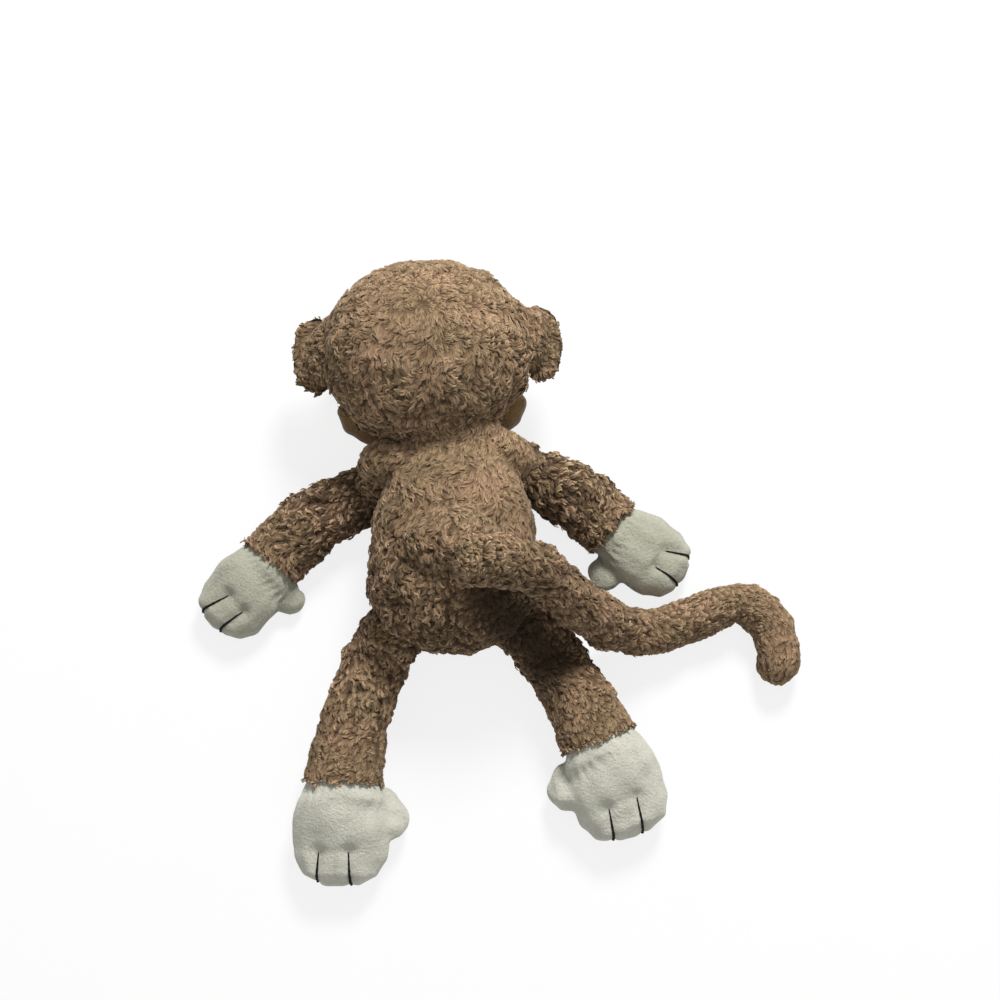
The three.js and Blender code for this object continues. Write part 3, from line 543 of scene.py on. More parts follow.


# Grows tufts all over the form: their roots, their points and the places of these on the palette.
# lie gives the way the pile points at some points, grow its length there, rough how curly it is
# and the one after rough how much paler or darker its colour is painted, as painted light and shade. stray
# is how far it wanders from its lie, 1 as usual.
def tuftsOn(form, seed, lie, skip, grow, rough, paintedLight, stray):
    chance = np.random.default_rng(seed)
    corners = form.points[form.quads]
    normals = form.normals()
    diagonals = np.cross(corners[:, 2] - corners[:, 0], corners[:, 3] - corners[:, 1])
    areas = np.linalg.norm(diagonals, axis=1) / 2
    wanted = int(areas.sum() / pile["spacing"] ** 2 * pile["tries"])
    picked = chance.choice(len(areas), wanted, p=areas / areas.sum())
    s, t = chance.uniform(size=(2, wanted, 1))
    weights = [(1 - s) * (1 - t), s * (1 - t), s * t, (1 - s) * t]
    roots = sum(w * corners[picked, k] for k, w in enumerate(weights))
    ups = unit(sum(w * normals[form.quads[picked, k]] for k, w in enumerate(weights)))
    first = onePerCell(roots, pile["spacing"])
    roots, ups = roots[first], ups[first]
    kept = ~hidden(skip, roots, pile["hiddenDepth"])
    pressed = (roots[:, 2] < pile["pressedBelow"]) & (ups[:, 2] < -0.5)
    kept &= ~pressed | (chance.uniform(size=len(roots)) < pile["pressed"])
    roots, ups = roots[kept], ups[kept]
    count = len(roots)

    locks = KDTree(count)
    middles = roots[onePerCell(roots, pile["lockEvery"])]
    for index, place in enumerate(middles):
        locks.insert(place, index)
    locks.balance()
    lock = np.array([locks.find(place)[1] for place in roots])
    own = chance.normal(size=(len(middles), 4))[lock]
    inward = middles[lock] - roots
    aside = np.linalg.norm(inward, axis=1) / (pile["lockEvery"] * 0.6)

    ahead = lie(roots)
    ahead = unit(ahead - (ahead * ups).sum(1)[:, None] * ups)
    flankward = np.cross(ups, ahead)
    wander = np.radians(pile["swirl"]) * waves(roots, seed + 1, pile["swirlEvery"])
    wander += np.radians(pile["clumpTurn"]) * waves(roots, seed + 3, pile["clumpEvery"])
    wander *= stray
    loose = np.radians(pile["loose"]) * chance.normal(size=count)
    wander += np.radians(pile["lockTurn"]) * own[:, 0] + loose
    turned = ahead * np.cos(wander)[:, None] + flankward * np.sin(wander)[:, None]
    flankward = np.cross(ups, turned)

    curly = rough(roots)
    coarse = np.clip(0.66 + 0.27 * curly, 0.7, 1.02)  # curly pile has longer and wider tufts
    length = pile["length"] * coarse * grow(roots) * (1 + 0.16 * own[:, 1])
    length = np.maximum(length * chance.uniform(0.8, 1.2, count), pile["shortest"])
    width = pile["width"] * coarse * chance.uniform(0.8, 1.25, count)
    flat = np.clip(1.2 - curly, 0, 1)  # calm pile lies flatter and straighter
    stand = np.radians(chance.uniform(*pile["stands"], count) + 12 * flat)
    curl = np.radians(chance.uniform(*pile["curls"], count))
    bend = np.radians(pile["lockBend"] * own[:, 2] + chance.normal(0, pile["loose"], count))
    crimp = np.radians(pile["crimp"]) * (0.7 + 0.3 * np.abs(own[:, 3])) * (1 - 0.5 * flat)
    phase = 2 * own[:, 3] + own[:, 2]
    raised = np.minimum(curly, 1.2) * pile["lockHeight"] * np.clip(1 - aside**2, -0.4, 1)
    start = roots + ups * (raised - pile["sunk"])[:, None]

    steps = 22  # the curve is added up in short steps, and rings are taken from it
    shares = (np.arange(steps) + 0.5) / steps
    lean = stand[:, None] + (curl - stand)[:, None] * shares
    waving = np.sin(2 * np.pi * pile["crimps"] * shares + phase[:, None])
    veer = bend[:, None] * shares + crimp[:, None] * waving
    forward = np.sin(lean) * np.cos(veer)
    sideways = np.sin(lean) * np.sin(veer)
    upward = np.cos(lean)
    way = (turned[:, None] * forward[..., None] + flankward[:, None] * sideways[..., None]
           + ups[:, None] * upward[..., None])
    run = np.concatenate([np.zeros((count, 1, 3)), np.cumsum(way, axis=1)], axis=1) / steps
    run *= length[:, None, None]
    at = np.rint(ringShares * steps).astype(int)
    gathered = inward[:, None] * (pile["lockGather"] * ringShares)[:, None]
    middle = start[:, None] + run[:, at] + gathered
    heading = way[:, np.minimum(at, steps - 1)]
    flank = unit(np.cross(ups[:, None], heading) + 1e-9)
    roof = unit(np.cross(heading, flank))
    half = width[:, None, None] * ringWidths[:, None] / 2
    ridge = middle + roof * half * 2 * ridgeHeight
    rings = np.stack([middle - flank * half, ridge, middle + flank * half], axis=2)
    points = np.concatenate([rings[:, :-1].reshape(count, -1, 3), ridge[:, -1:]], axis=1)
    # where the toy lies on its pile, the tufts are pressed up into it
    points[..., 2] += np.maximum(pile["lowest"] - points[..., 2].min(1), 0)[:, None]

    tint = 0.5 + pile["tintSpread"] * waves(roots, seed + 5, pile["tintEvery"])
    tint = np.clip(tint + 0.05 * own[:, 1] + 0.04 * chance.normal(size=count), 0.03, 0.97)
    us = tint[:, None] + np.tile([-0.012, 0, 0.012], len(ringShares) - 1)
    us = np.concatenate([us, tint[:, None]], axis=1)
    # painted light and shade: a tuft is painted palest along its ridge and darker on its flanks, and a lock
    # palest in its middle and darker at its edges
    edge, top = ringShares[:-1] * 0.62 + 0.1, ringShares[:-1] * 0.8 + 0.18
    along = np.append(np.stack([edge, top, edge], axis=1).ravel(), 0.9)
    # each part's painted light makes its pile paler or darker
    palest = np.clip(1.22 - pile["lockContrast"] * curly * aside, 0.12, 1.0) * paintedLight(roots)
    # painted shade in the furrows between curly clumps
    palest *= 1 - pile["shade"] * furrows(roots, seed) * np.clip(curly - 0.6, 0, 1)
    vs = np.minimum(along * palest[:, None], 0.99)
    return roots, points, np.stack([us, vs], axis=2)


def usual(points):
    return np.ones(len(points))


# The cloth and its tufts. parts names the pieces and says which places belong to each.
def pilePieces(form, seed, lie, skip, parts, grow=usual, rough=usual, paintedLight=usual, stray=1.0):
    surface = Form(form.points.copy(), form.quads)
    uneven = pile["unevenness"] * waves(surface.points, seed + 9, pile["unevennessEvery"])
    relief = np.minimum(rough(surface.points), pile["mostRelief"])
    surface.push((uneven - pile["partings"] * furrows(surface.points, seed)) * relief)
    ground = Form(surface.points.copy(), surface.quads)
    ground.push(-pile["under"]).rest(pile["lowestCloth"])
    surface.push(-pile["under"])
    roots, points, uvs = tuftsOn(surface, seed, lie, skip, grow, rough, paintedLight, stray)
    groundTint = 0.5 + 0.3 * waves(ground.points, seed + 5, pile["tintEvery"])
    # painted shade: the cloth under the tufts is painted dark, and paler or darker with the part's painted
    # light
    groundPaintedShade = (0.2 + 0.06 * waves(ground.points, seed + 6, 7 * mm)) * paintedLight(ground.points)
    groundUvs = np.stack([np.clip(groundTint, 0.05, 0.95), np.clip(groundPaintedShade, 0.01, 0.4)], axis=1)

    bands = len(ringShares) - 2
    # every ring has three points, and every band two faces beside its ridge
    pattern = [[low, low + 1, low + 4, low + 3] for ring in range(bands) for low in (3 * ring, 3 * ring + 1)]
    last = bands * 3
    tips = [[last, last + 1, last + 3], [last + 1, last + 2, last + 3]]
    pieces = []
    for name, belongs in parts.items():
        own = belongs(roots)
        ownFaces = belongs(ground.centres())
        used, carrier = np.unique(ground.quads[ownFaces], return_inverse=True)
        carrier = carrier.reshape(-1, 4)
        offsets = len(used) + (np.arange(own.sum()) * points.shape[1])[:, None, None]
        quads = (np.array(pattern) + offsets).reshape(-1, 4)
        triangles = (np.array(tips) + offsets).reshape(-1, 3)
        allPoints = np.concatenate([ground.points[used], points[own].reshape(-1, 3)])
        allUvs = np.concatenate([groundUvs[used], uvs[own].reshape(-1, 2)])
        print(name, own.sum(), "tufts,", 2 * len(quads) + len(triangles) + 2 * len(carrier), "triangles")
        pieces.append(addPiece(name, brownPile, allPoints, [carrier, quads, triangles], allUvs))
    return pieces


def anywhere(points):
    return np.ones(len(points), bool)


mittLook = {
    "middleHeight": 11 * mm,
    "lineMarks": (0.05, 0.4, 0.8),  # shares of a line: at its start, halfway and at its end below
    "lineDepth": (3.0 * mm, 1.8 * mm, 0.9 * mm),
    "lineReach": (3.9 * mm, 2.6 * mm, 2.4 * mm),
    "valleyDepth": 0.9 * mm,
    "valleyReach": 3.2 * mm,
    "valleyBeyond": 0.2,  # how far the valley runs past both lines, in the gap between them
    "knuckleHeight": 1.3 * mm,
    "knuckleReach": 6.5 * mm,
    "lineEnd": -38,  # degrees; a line starts straight above, at 90, and ends under the edge
    "threadLift": 0.3 * mm,
    "threadRadius": 0.8 * mm,
    "threadStart": 0.4,  # how thick a thread starts
    "stitch": 4.0 * mm,
    "gathers": 24,
    "gatherDepth": 0.38 * mm,
    "gatherReach": 4.5 * mm,
    "gatherWander": 0.05,
    "seamDepth": 0.7 * mm,
    "seamReach": 1.3 * mm,
    "unevenness": 0.35 * mm,
    "unevennessEvery": 16 * mm,
    "backFall": 1.7 * mm,  # the back of it lies lower at the sleeve, and rises beyond
    "backFallReach": 5 * mm,
    "backRise": {"hand": 1.3 * mm, "foot": 2.4 * mm},
    "backRiseAt": 13 * mm,
    "backRiseReach": 9 * mm,
}


# how far the points are from a line, and how far along it they are, from 0 to 1
def besideLine(points, run):
    away = np.linalg.norm(points[:, None] - run[::2], axis=2)
    return away.min(1), away.argmin(1) * 2 / len(run)


# the cloth is drawn in along the stitched lines, most of all where they start
def drawIn(form, creases):
    for run in creases:
        away, share = besideLine(form.points, run)
        depth = np.interp(share, mittLook["lineMarks"], mittLook["lineDepth"])
        reach = np.interp(share, mittLook["lineMarks"], mittLook["lineReach"])
        form.push(-depth * fade(away, reach))


fillLook = {
    "grain": 2.5 * mm,
    "rounds": 4,
    "unevenness": 0.25 * mm,
    "unevennessEvery": 8 * mm,
    "shrunk": 0.2 * mm,
    "thinned": 3.0 * mm,
    "thinnedReach": 14 * mm,
    "lowest": 1.4 * mm,
}


def clothPiece(name, form, material):
    return addPiece(name, material, form.points, [form.quads])


def declare(nodes):
    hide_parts(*nodes)


# The lump of fibre inside a stuffed part. It rides on body, or is left unattached when bends is given,
# and it is thinner by the joints that it ends at.
def fillPiece(name, node, body, creases=(), bends=None, ends=()):
    form = formOf([node], fillLook["grain"], fillLook["rounds"])
    uneven = waves(form.points, len(name), fillLook["unevennessEvery"])  # the name's length is the seed
    form.push(fillLook["unevenness"] * uneven - fillLook["shrunk"])
    drawIn(form, creases)
    for end in ends:
        form.push(-fillLook["thinned"] * fade(awayFrom(form.points, end), fillLook["thinnedReach"]))
    form.rest(fillLook["lowest"])
    piece = clothPiece(name, form, fibreFill)
    declare([node])
    if bends:
        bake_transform(piece)
    else:
        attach(piece, body)


print("camera, lamps and floor")
addCamera(view)
for lampName, lampSettings in lamps.items():
    addLamp(lampName, lampSettings)

# the sky lights evenly, and the camera sees it white
sky = bpy.data.worlds.new("sky")
sky.use_nodes = True
skyNodes, skyLinks = sky.node_tree.nodes, sky.node_tree.links
skyLight = skyNodes["Background"]
skyWhite = skyNodes.new("ShaderNodeBackground")
skyRays = skyNodes.new("ShaderNodeLightPath")
skyBoth = skyNodes.new("ShaderNodeMixShader")
for background in (skyLight, skyWhite):
    background.inputs["Color"].default_value = (1.0, 1.0, 1.0, 1.0)
skyLight.inputs["Strength"].default_value = surroundings["skyStrength"]
skyLinks.new(skyRays.outputs["Is Camera Ray"], skyBoth.inputs[0])
skyLinks.new(skyLight.outputs[0], skyBoth.inputs[1])
skyLinks.new(skyWhite.outputs[0], skyBoth.inputs[2])
skyLinks.new(skyBoth.outputs[0], skyNodes["World Output"].inputs["Surface"])
scene.world = sky


def floorFinish(settings):
    finish = Finish("paleFloor", {"Roughness": 0.9})
    grey = settings["floorColour"] + (1.0,)
    deeper = tuple(c * 0.97 for c in settings["floorColour"]) + (1.0,)
    finish.paint(finish.noise(40.0, 2.0), deeper, grey)
    white = finish.add("ShaderNodeEmission", inputs={"Color": (1.0, 1.0, 1.0, 1.0), "Strength": 1.0})
    rays = finish.add("ShaderNodeLightPath")
    seen = rays + rays.beside("Is Glossy Ray") + rays.beside("Is Transmission Ray")
    # beyond half a metre the floor fades, and from one metre on it is plain white
    middle = finish.add("ShaderNodeTexGradient", {"gradient_type": "SPHERICAL"}, {"Vector": finish.place()})
    close = finish.add("ShaderNodeMath", {"operation": "MINIMUM"}, {0: middle * 2.0, 1: 1.0})
    share = seen * (1.0 - close * (1.0 - settings["floorWhiteness"]))
    plain = Wire(finish, finish.shader.outputs[0])
    both = finish.add("ShaderNodeMixShader", inputs={0: share, 1: plain, 2: white})
    output = finish.tree.nodes["Material Output"]
    finish.tree.links.new(both.socket, output.inputs["Surface"])
    return finish.material


reach = surroundings["floorSize"] / 2
floorPoints = np.array([[-reach, -reach, 0], [reach, -reach, 0], [reach, reach, 0], [-reach, reach, 0]])
floor = addPiece("floor", floorFinish(surroundings), floorPoints, [np.array([[0, 1, 2, 3]])])

print("finishes")
brownPile = pileFinish(pileLook)
creamNap = napFinish("creamNap", (214, 213, 200), (154, 153, 137), (164, 160, 142))
# painted shade: the hands' cream is darker than the feet's, for the shade the hands lie in
shadedHandNap = napFinish("shadedHandNap", (190, 189, 172), (123, 122, 105), (139, 134, 115))
# painted shade: the face, the muzzle and the ear linings are a tan darkened for the shade they lie in, face
# down
shadedFaceNap = napFinish("shadedFaceNap", (132, 102, 55), (88, 67, 33), (88, 67, 37))
blackThread = threadFinish("blackThread", shade(6, 5, 5), shade(22, 19, 18), 900.0)
noseThread = threadFinish("noseThread", shade(34, 24, 18), shade(70, 54, 42), 420.0)
fibreFill = fibreFinish()
blackPlastic = eyeFinish()
milkyPlastic = washerFinish()

print("forms")
sides = {"left": -1, "right": 1}  # and which way along x is outward
# root is half the size of the lump at a limb's root, and grow the length of its pile towards the far end
limbKinds = {
    "arm": {"skin": "sleeve_", "joint": "wrist_", "mitt": "hand", "upper": "hand_back_", "lower": "palm_",
            "root": (19 * mm, 15 * mm, 11 * mm), "grow": (0.95, 1.0, 0.85)},
    "leg": {"skin": "leg_", "joint": "ankle_", "mitt": "foot", "upper": "foot_top_", "lower": "sole_",
            "root": (19 * mm, 17 * mm, 14 * mm), "grow": (0.9, 0.82, 0.62)},
}
# each limb's pile is painted paler by its own factor after rough: painted light
limbs = {
    "arm_left": {"seed": 101, "rough": (1.6, 2.1, 1.0), "paintedLight": 1.1, "shift": (-5 * mm, 1 * mm, -2 * mm)},
    "arm_right": {"seed": 103, "rough": (1.6, 2.0, 1.1), "paintedLight": 1.14, "shift": (5 * mm, 0.0, -2 * mm)},
    "leg_left": {"seed": 107, "rough": (1.4, 1.3, 0.6), "paintedLight": 1.08, "shift": (0.0, -3 * mm, -2 * mm)},
    "leg_right": {"seed": 109, "rough": (1.4, 1.3, 0.6), "paintedLight": 1.08, "shift": (0.0, -3 * mm, -2 * mm)},
}
# In millimetres: the lump of cloth from the seam of a hand or a foot to its thumb or big toe, and the
# stitched lines, which run from an inner place on the upper side to the edge and under it.
mitts = {
    "hand_left": {"web": ((-97.5, -17.5, 11), (0.6, -0.8, 0), (10, 8, 5)),
                  "lines": [[(-127.3, -26.0), (-146.1, -37.1)], [(-118.1, -34.6), (-132.7, -46.0)]]},
    "hand_right": {"web": ((87.0, 4.0, 10), (-0.6, -0.8, 0), (11, 9, 5.5)),
                   "lines": [[(118.9, 17.8), (134.1, 16.3)], [(113.9, 8.1), (127.3, 0.5)]]},
    "foot_left": {"web": ((-31.0, -135.0, 12), (0.8, -0.6, 0), (11, 9, 7)),
                  "lines": [[(-61.8, -164.0), (-61.9, -182.5)], [(-45.5, -162.8), (-43.6, -178.3)]]},
    "foot_right": {"web": ((70.5, -114.0, 12), (-0.5, -0.85, 0), (10, 8, 6.5)),
                   "lines": [[(94.5, -129.7), (98.0, -143.3)], [(109.3, -122.1), (113.8, -138.1)]]},
}
headLook = {
    "crown": (-24 * mm, 126 * mm, 78 * mm),  # the pile points away from there
    "neckAt": 66 * mm,  # from the crown; what follows changes from there to the neck
    "grow": (0.85, 1.2),  # length of the pile, in the usual one
    "rough": (0.4, 1.5),  # how curly it is
    "paintedLight": (1.02, 1.28),  # painted light: the pile is painted paler towards the nape, which faces away from the light
}
# where the back fills out more than its solid: at the nape, the shoulders and round the tail's root
backLumps = [
    lump((-7 * mm, 71 * mm, 47 * mm), (-0.2, 1.0, 0.0), (17 * mm, 28 * mm, 17 * mm)),
    lump((-36 * mm, 54 * mm, 40 * mm), (1.0, 0.15, 0.0), (23 * mm, 14 * mm, 18 * mm)),
    lump((21 * mm, 64 * mm, 39 * mm), (1.0, -0.3, 0.0), (20 * mm, 13 * mm, 17 * mm)),
    lump((2 * mm, 2 * mm, 60 * mm), (1.0, -0.2, 0.0), (31 * mm, 23 * mm, 26 * mm)),
]
torsoNodes = ["torso_back_left", "torso_back_right", "belly_panel", "torso_stuffing"]
tailNodes = ["tail_" + part for part in ("base", "middle", "tip")]
forms = {
    "torso": formOf(torsoNodes, 2.2 * mm, 20, backLumps),
    "head": formOf(["head_back", "face_panel", "head_stuffing"], 2.2 * mm, 14),
    "tail": formOf(tailNodes + [node + "_stuffing" for node in tailNodes], 2.0 * mm, 26),
}
for body, own in limbs.items():
    kind, side = body.split("_")
    names = limbKinds[kind]
    root, far = pivot(body), pivot(names["joint"] + side)
    filled = lump(root + Vector(own["shift"]), far - root, names["root"])
    forms[body] = formOf([names["skin"] + side, kind + "_stuffing_" + side], 1.8 * mm, 12, [filled])
    mitt = names["mitt"]
    centre, way, halves = mitts[mitt + "_" + side]["web"]
    web = lump(Vector(centre) * mm, way, Vector(halves) * mm)
    nodes = [names["upper"] + side, names["lower"] + side, mitt + "_stuffing_" + side]
    forms[mitt + "_" + side] = formOf(nodes, 1.3 * mm, 40, [web])
earLook = {"slant": -0.13, "root": (16 * mm, 21 * mm, 12 * mm), "length": 0.66}
for side, way in sides.items():
    root = pivot("ear_" + side) + Vector((-4 * mm * way, 1 * mm, 5 * mm))
    filled = lump(root, (way, earLook["slant"] * way, 0.0), earLook["root"])
    forms["ear_" + side] = formOf(["ear_back_" + side, "ear_front_" + side], 1.4 * mm, 14, [filled])
trees = {name: form.tree() for name, form in forms.items()}


# the lie of pile that points from start to end
def towards(start, end):
    way = np.array(end) - np.array(start)
    return lambda points: np.broadcast_to(way, points.shape)


# the places above a seam or below it, and to the left of a middle line or to its right
def quarter(above, left, seam, middle):
    return lambda c: ((c[:, 2] > seam) == above) & ((c[:, 0] < middle) == left)


# a thread along each of the runs, drawn in at every stitch
def threadPiece(name, runs, radius, stitch, material, starts=1.0):
    points, quads, count, around = [], [], 0, 8
    for run in runs:
        reach = reachAlong(run)
        ahead = unit(np.gradient(run, axis=0))
        across = unit(np.cross(ahead, (0.12, 0.2, 1.0)))
        up = np.cross(across, ahead)
        ends = np.clip(np.minimum(reach, reach[-1] - reach) / radius, 0.15, 1)
        thick = radius * np.sqrt(ends) * (0.82 + 0.2 * np.abs(np.sin(np.pi * reach / stitch)))
        thick *= np.interp(reach / reach[-1], [0.0, 0.4], [starts, 1.0])
        angles = np.linspace(0, 2 * np.pi, around, endpoint=False)
        ring = across[:, None] * np.cos(angles)[:, None] + up[:, None] * np.sin(angles)[:, None]
        points.append((run[:, None] + ring * thick[:, None, None]).reshape(-1, 3))
        last = count + (len(run) - 1) * around
        for low in range(count, last, around):
            for k in range(around):
                after = low + (k + 1) % around
                quads.append([low + k, after, after + around, low + k + around])
        for order in (range(count + around - 1, count - 1, -1), range(last, last + around)):
            quads += [[order[0], order[a], order[a + 1], order[a + 2]] for a in range(1, around - 1, 2)]
        count = last + around
    points = np.concatenate(points)
    points[:, 2] = np.maximum(points[:, 2], 0.1 * mm)
    return addPiece(name, material, points, [np.array(quads)])


print("torso")
# painted shadow in the deep hollow below the tail, where little light gets in: from its start on the back to
# the right hip
hollow = {
    "run": np.array([(3, -13, 70), (22, -25, 62), (44, -41, 44), (58, -52, 30)]) * mm,
    "reach": (7 * mm, 12 * mm, 18 * mm, 16 * mm),
    "dark": 0.97,
}


def hollowPaintedShadow(points):
    marks = range(len(hollow["run"]))
    places = np.linspace(0, len(marks) - 1, 30)
    reaches = np.interp(places, marks, hollow["reach"])
    share = np.ones(len(points))
    for centre, reach in zip(between(places, marks, hollow["run"]), reaches):
        share = np.minimum(share, 1 - hollow["dark"] * np.exp(-((awayFrom(points, centre) / reach) ** 4)))
    return share


torsoLook = {"crown": (-2 * mm, 95 * mm, 60 * mm), "flow": (0.6, 1.0, 0.2)}


# the pile points away from the crown, and mostly along the back
def torsoLie(points):
    return (points - np.array(torsoLook["crown"])) * torsoLook["flow"]


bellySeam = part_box("belly_panel")[1].z
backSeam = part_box("torso_back_left")[1].x
torsoParts = {
    name + side: quarter(name == "backPile_", side == "left", bellySeam, backSeam)
    for name in ("backPile_", "bellyPile_")
    for side in sides
}


# calm on the upper back, curlier towards the hips and the left
def torsoRough(points):
    low = np.interp(points[:, 1], [-40 * mm, 45 * mm], [1.6, 0.6])
    return low + np.interp(points[:, 0], [-40 * mm, 0.0], [0.3, 0.0])


# painted light: the left flank is painted paler, and the hollow below the tail darker, as painted shadow
def torsoPaintedLight(points):
    return hollowPaintedShadow(points) * np.interp(points[:, 0], [-50 * mm, -25 * mm], [1.2, 1.0])


# the pile is shorter in the hollow below the tail, and painted darker there as painted shadow
torsoPieces = pilePieces(forms["torso"], 11, torsoLie, [trees["head"]], torsoParts,
                         lambda points: 0.6 + 0.4 * hollowPaintedShadow(points), torsoRough, torsoPaintedLight)
torsoPanels = ("torso_back_left", "torso_back_right", "belly_panel", "belly_panel")
for piece, node in zip(torsoPieces, torsoPanels):
    declare([node])
    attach(piece, "torso")
fillPiece("torsoFill", "torso_stuffing", "torso")

print("head")
neck = pivot("neck")
neckBlend = [tuple(neck + Vector((0.0, place, 0.0))) for place in (-2 * mm, 22 * mm)]
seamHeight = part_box("face_panel")[1].z  # the face cloth ends there


def headLie(points):
    return points - np.array(headLook["crown"])


# a value that changes from the crown to the neck
def fromCrown(values):
    crown, reach = headLook["crown"], headLook["neckAt"]
    return lambda points: np.interp(awayFrom(points, crown) / reach, [0.2, 1.0], values)


headMiddle = headLook["crown"][0]
headParts = {"headPile_" + side: quarter(True, side == "left", seamHeight, headMiddle) for side in sides}
for piece in pilePieces(forms["head"], 23, headLie, [trees["torso"]], headParts,
                        *(fromCrown(headLook[key]) for key in ("grow", "rough", "paintedLight"))):
    declare(["head_back"])
    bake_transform(piece)
fillPiece("headFill", "head_stuffing", "head", bends=("torso", "head", *neckBlend))

faceForm = forms["head"].part(forms["head"].centres()[:, 2] <= seamHeight + 0.5 * mm)
# the face cloth takes the tan darkened as painted shade
faceCloth = clothPiece("faceCloth", faceForm, shadedFaceNap)
declare(["face_panel"])
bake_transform(faceCloth)

muzzleForm = formOf(["muzzle", "muzzle_stuffing"], 1.8 * mm, 30)
muzzleForm.push(0.3 * mm * waves(muzzleForm.points, 31, 14 * mm)).rest(0.9 * mm)
# the muzzle takes the same tan, darkened as painted shade
muzzle = clothPiece("muzzleCloth", muzzleForm, shadedFaceNap)
declare(["muzzle"])
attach(muzzle, "head")
fillPiece("muzzleFill", "muzzle_stuffing", "head")

for side in sides:
    for node, material in (("eye_" + side, blackPlastic), ("eye_washer_" + side, milkyPlastic)):
        for slot in frame["nodes"][node].material_slots:
            slot.material = material

# a small stitched nose, with a line down to the mouth; they lie under the muzzle
noseLook = {
    "centre": (-22.5 * mm, 99 * mm),
    "halves": (7 * mm, 4.2 * mm),
    "stitches": 13,
    "radius": 0.5 * mm,
    "mouth": np.array([(0, -4), (0.3, -7), (0.4, -10), (4, -12.5), (8, -12), (11, -9.5)]) * mm,
    "split": -9.9 * mm,  # below that the mouth goes to both sides
}


def onMuzzle(places):
    tree = muzzleForm.tree()
    right, up = Vector((0.99, 0.13)), Vector((-0.13, 0.99))
    run = []
    for across, along in places:
        flat = Vector(noseLook["centre"]) + right * across + up * along
        run.append(tree.ray_cast(Vector((flat.x, flat.y, -0.05)), Vector((0.0, 0.0, 1.0)))[0])
    return np.array(run) - [0.0, 0.0, 0.3 * mm]


wide, high = noseLook["halves"]
noseRuns = []
for share in np.linspace(-0.94, 0.94, noseLook["stitches"]):
    half = wide * math.sqrt(1 - share**2)
    noseRuns.append(onMuzzle([(x, share * high) for x in np.linspace(-half, half, 9)]))
marks = range(len(noseLook["mouth"]))
mouth = between(np.linspace(0, len(marks) - 1, 30), marks, noseLook["mouth"])
otherHalf = mouth[mouth[:, 1] < noseLook["split"]] * [-1, 1] + [0.8 * mm, 0]
noseRuns += [onMuzzle(mouth), onMuzzle(otherHalf)]
faceStitches = threadPiece("faceStitches", noseRuns, noseLook["radius"], 2.4 * mm, noseThread)
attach(faceStitches, "head")

print("ears")
for side, way in sides.items():
    form = forms["ear_" + side]
    root = pivot("ear_" + side)
    out = Vector((way, earLook["slant"] * way, 0.0)).normalized()
    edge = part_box("ear_back_" + side)[0].z
    ear = pilePieces(form, 41 + way, towards(root, root + out), [trees["head"]],
                     {"earPile_" + side: lambda c: c[:, 2] > edge - 2 * mm},
                     lambda points: earLook["length"] * usual(points))[0]
    declare(["ear_back_" + side])
    "ear_" + side
    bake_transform(ear)
    # the lining takes the face's tan, darkened as painted shade
    lining = clothPiece("earLining_" + side, form.part(form.centres()[:, 2] <= edge + 0.3 * mm), shadedFaceNap)
    declare(["ear_front_" + side])
    "ear_" + side
    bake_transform(lining)

print("arms and legs")
limbStray = 0.75


# a value that changes along a limb, from its root over its middle to its far end
def alongLimb(root, far, values):
    reach = (far - root).length
    way = np.array((far - root) / reach)
    return lambda points: np.interp(((points - np.array(root)) @ way) / reach, [0.2, 0.5, 0.9], values)


for body, own in limbs.items():
    kind, side = body.split("_")
    names = limbKinds[kind]
    root, far = pivot(body), pivot(names["joint"] + side)
    way = (far - root).normalized()
    nearby = [trees[name] for name in ("torso", "head", names["mitt"] + "_" + side)]
    # each limb's painted light, and painted shadow in the hollow below the tail
    piece = pilePieces(forms[body], own["seed"], towards(root, far), nearby,
                       {kind + "Pile_" + side: anywhere}, alongLimb(root, far, names["grow"]),
                       alongLimb(root, far, own["rough"]),
                       lambda points: own["paintedLight"] * hollowPaintedShadow(points), limbStray)[0]
    declare([names["skin"] + side])
    bends = ("torso", body, tuple(root - way * 6 * mm), tuple(root + way * 16 * mm))
    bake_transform(piece)
    fillPiece(kind + "Fill_" + side, kind + "_stuffing_" + side, body, bends=bends)

print("hands and feet")


# where a line over the edge of a mitt lies on its surface
def edgeLine(tree, inner, outer, height, lift=0.0):
    centre = Vector((inner[0] * mm, inner[1] * mm, height))
    ahead = Vector((outer[0] - inner[0], outer[1] - inner[1], 0.0)).normalized()
    run = []
    for angle in np.radians(np.linspace(90, mittLook["lineEnd"], 26)):
        ray = ahead * math.cos(angle) + Vector((0.0, 0.0, math.sin(angle)))
        found = tree.ray_cast(centre + ray * 80 * mm, -ray)
        if found[0] is not None:
            run.append(found[0] + ray * lift)
    run = np.array(run)
    reach = reachAlong(run)
    # even steps, so that the stitches come out alike
    return between(np.arange(0, reach[-1], 0.5 * mm), reach, run)


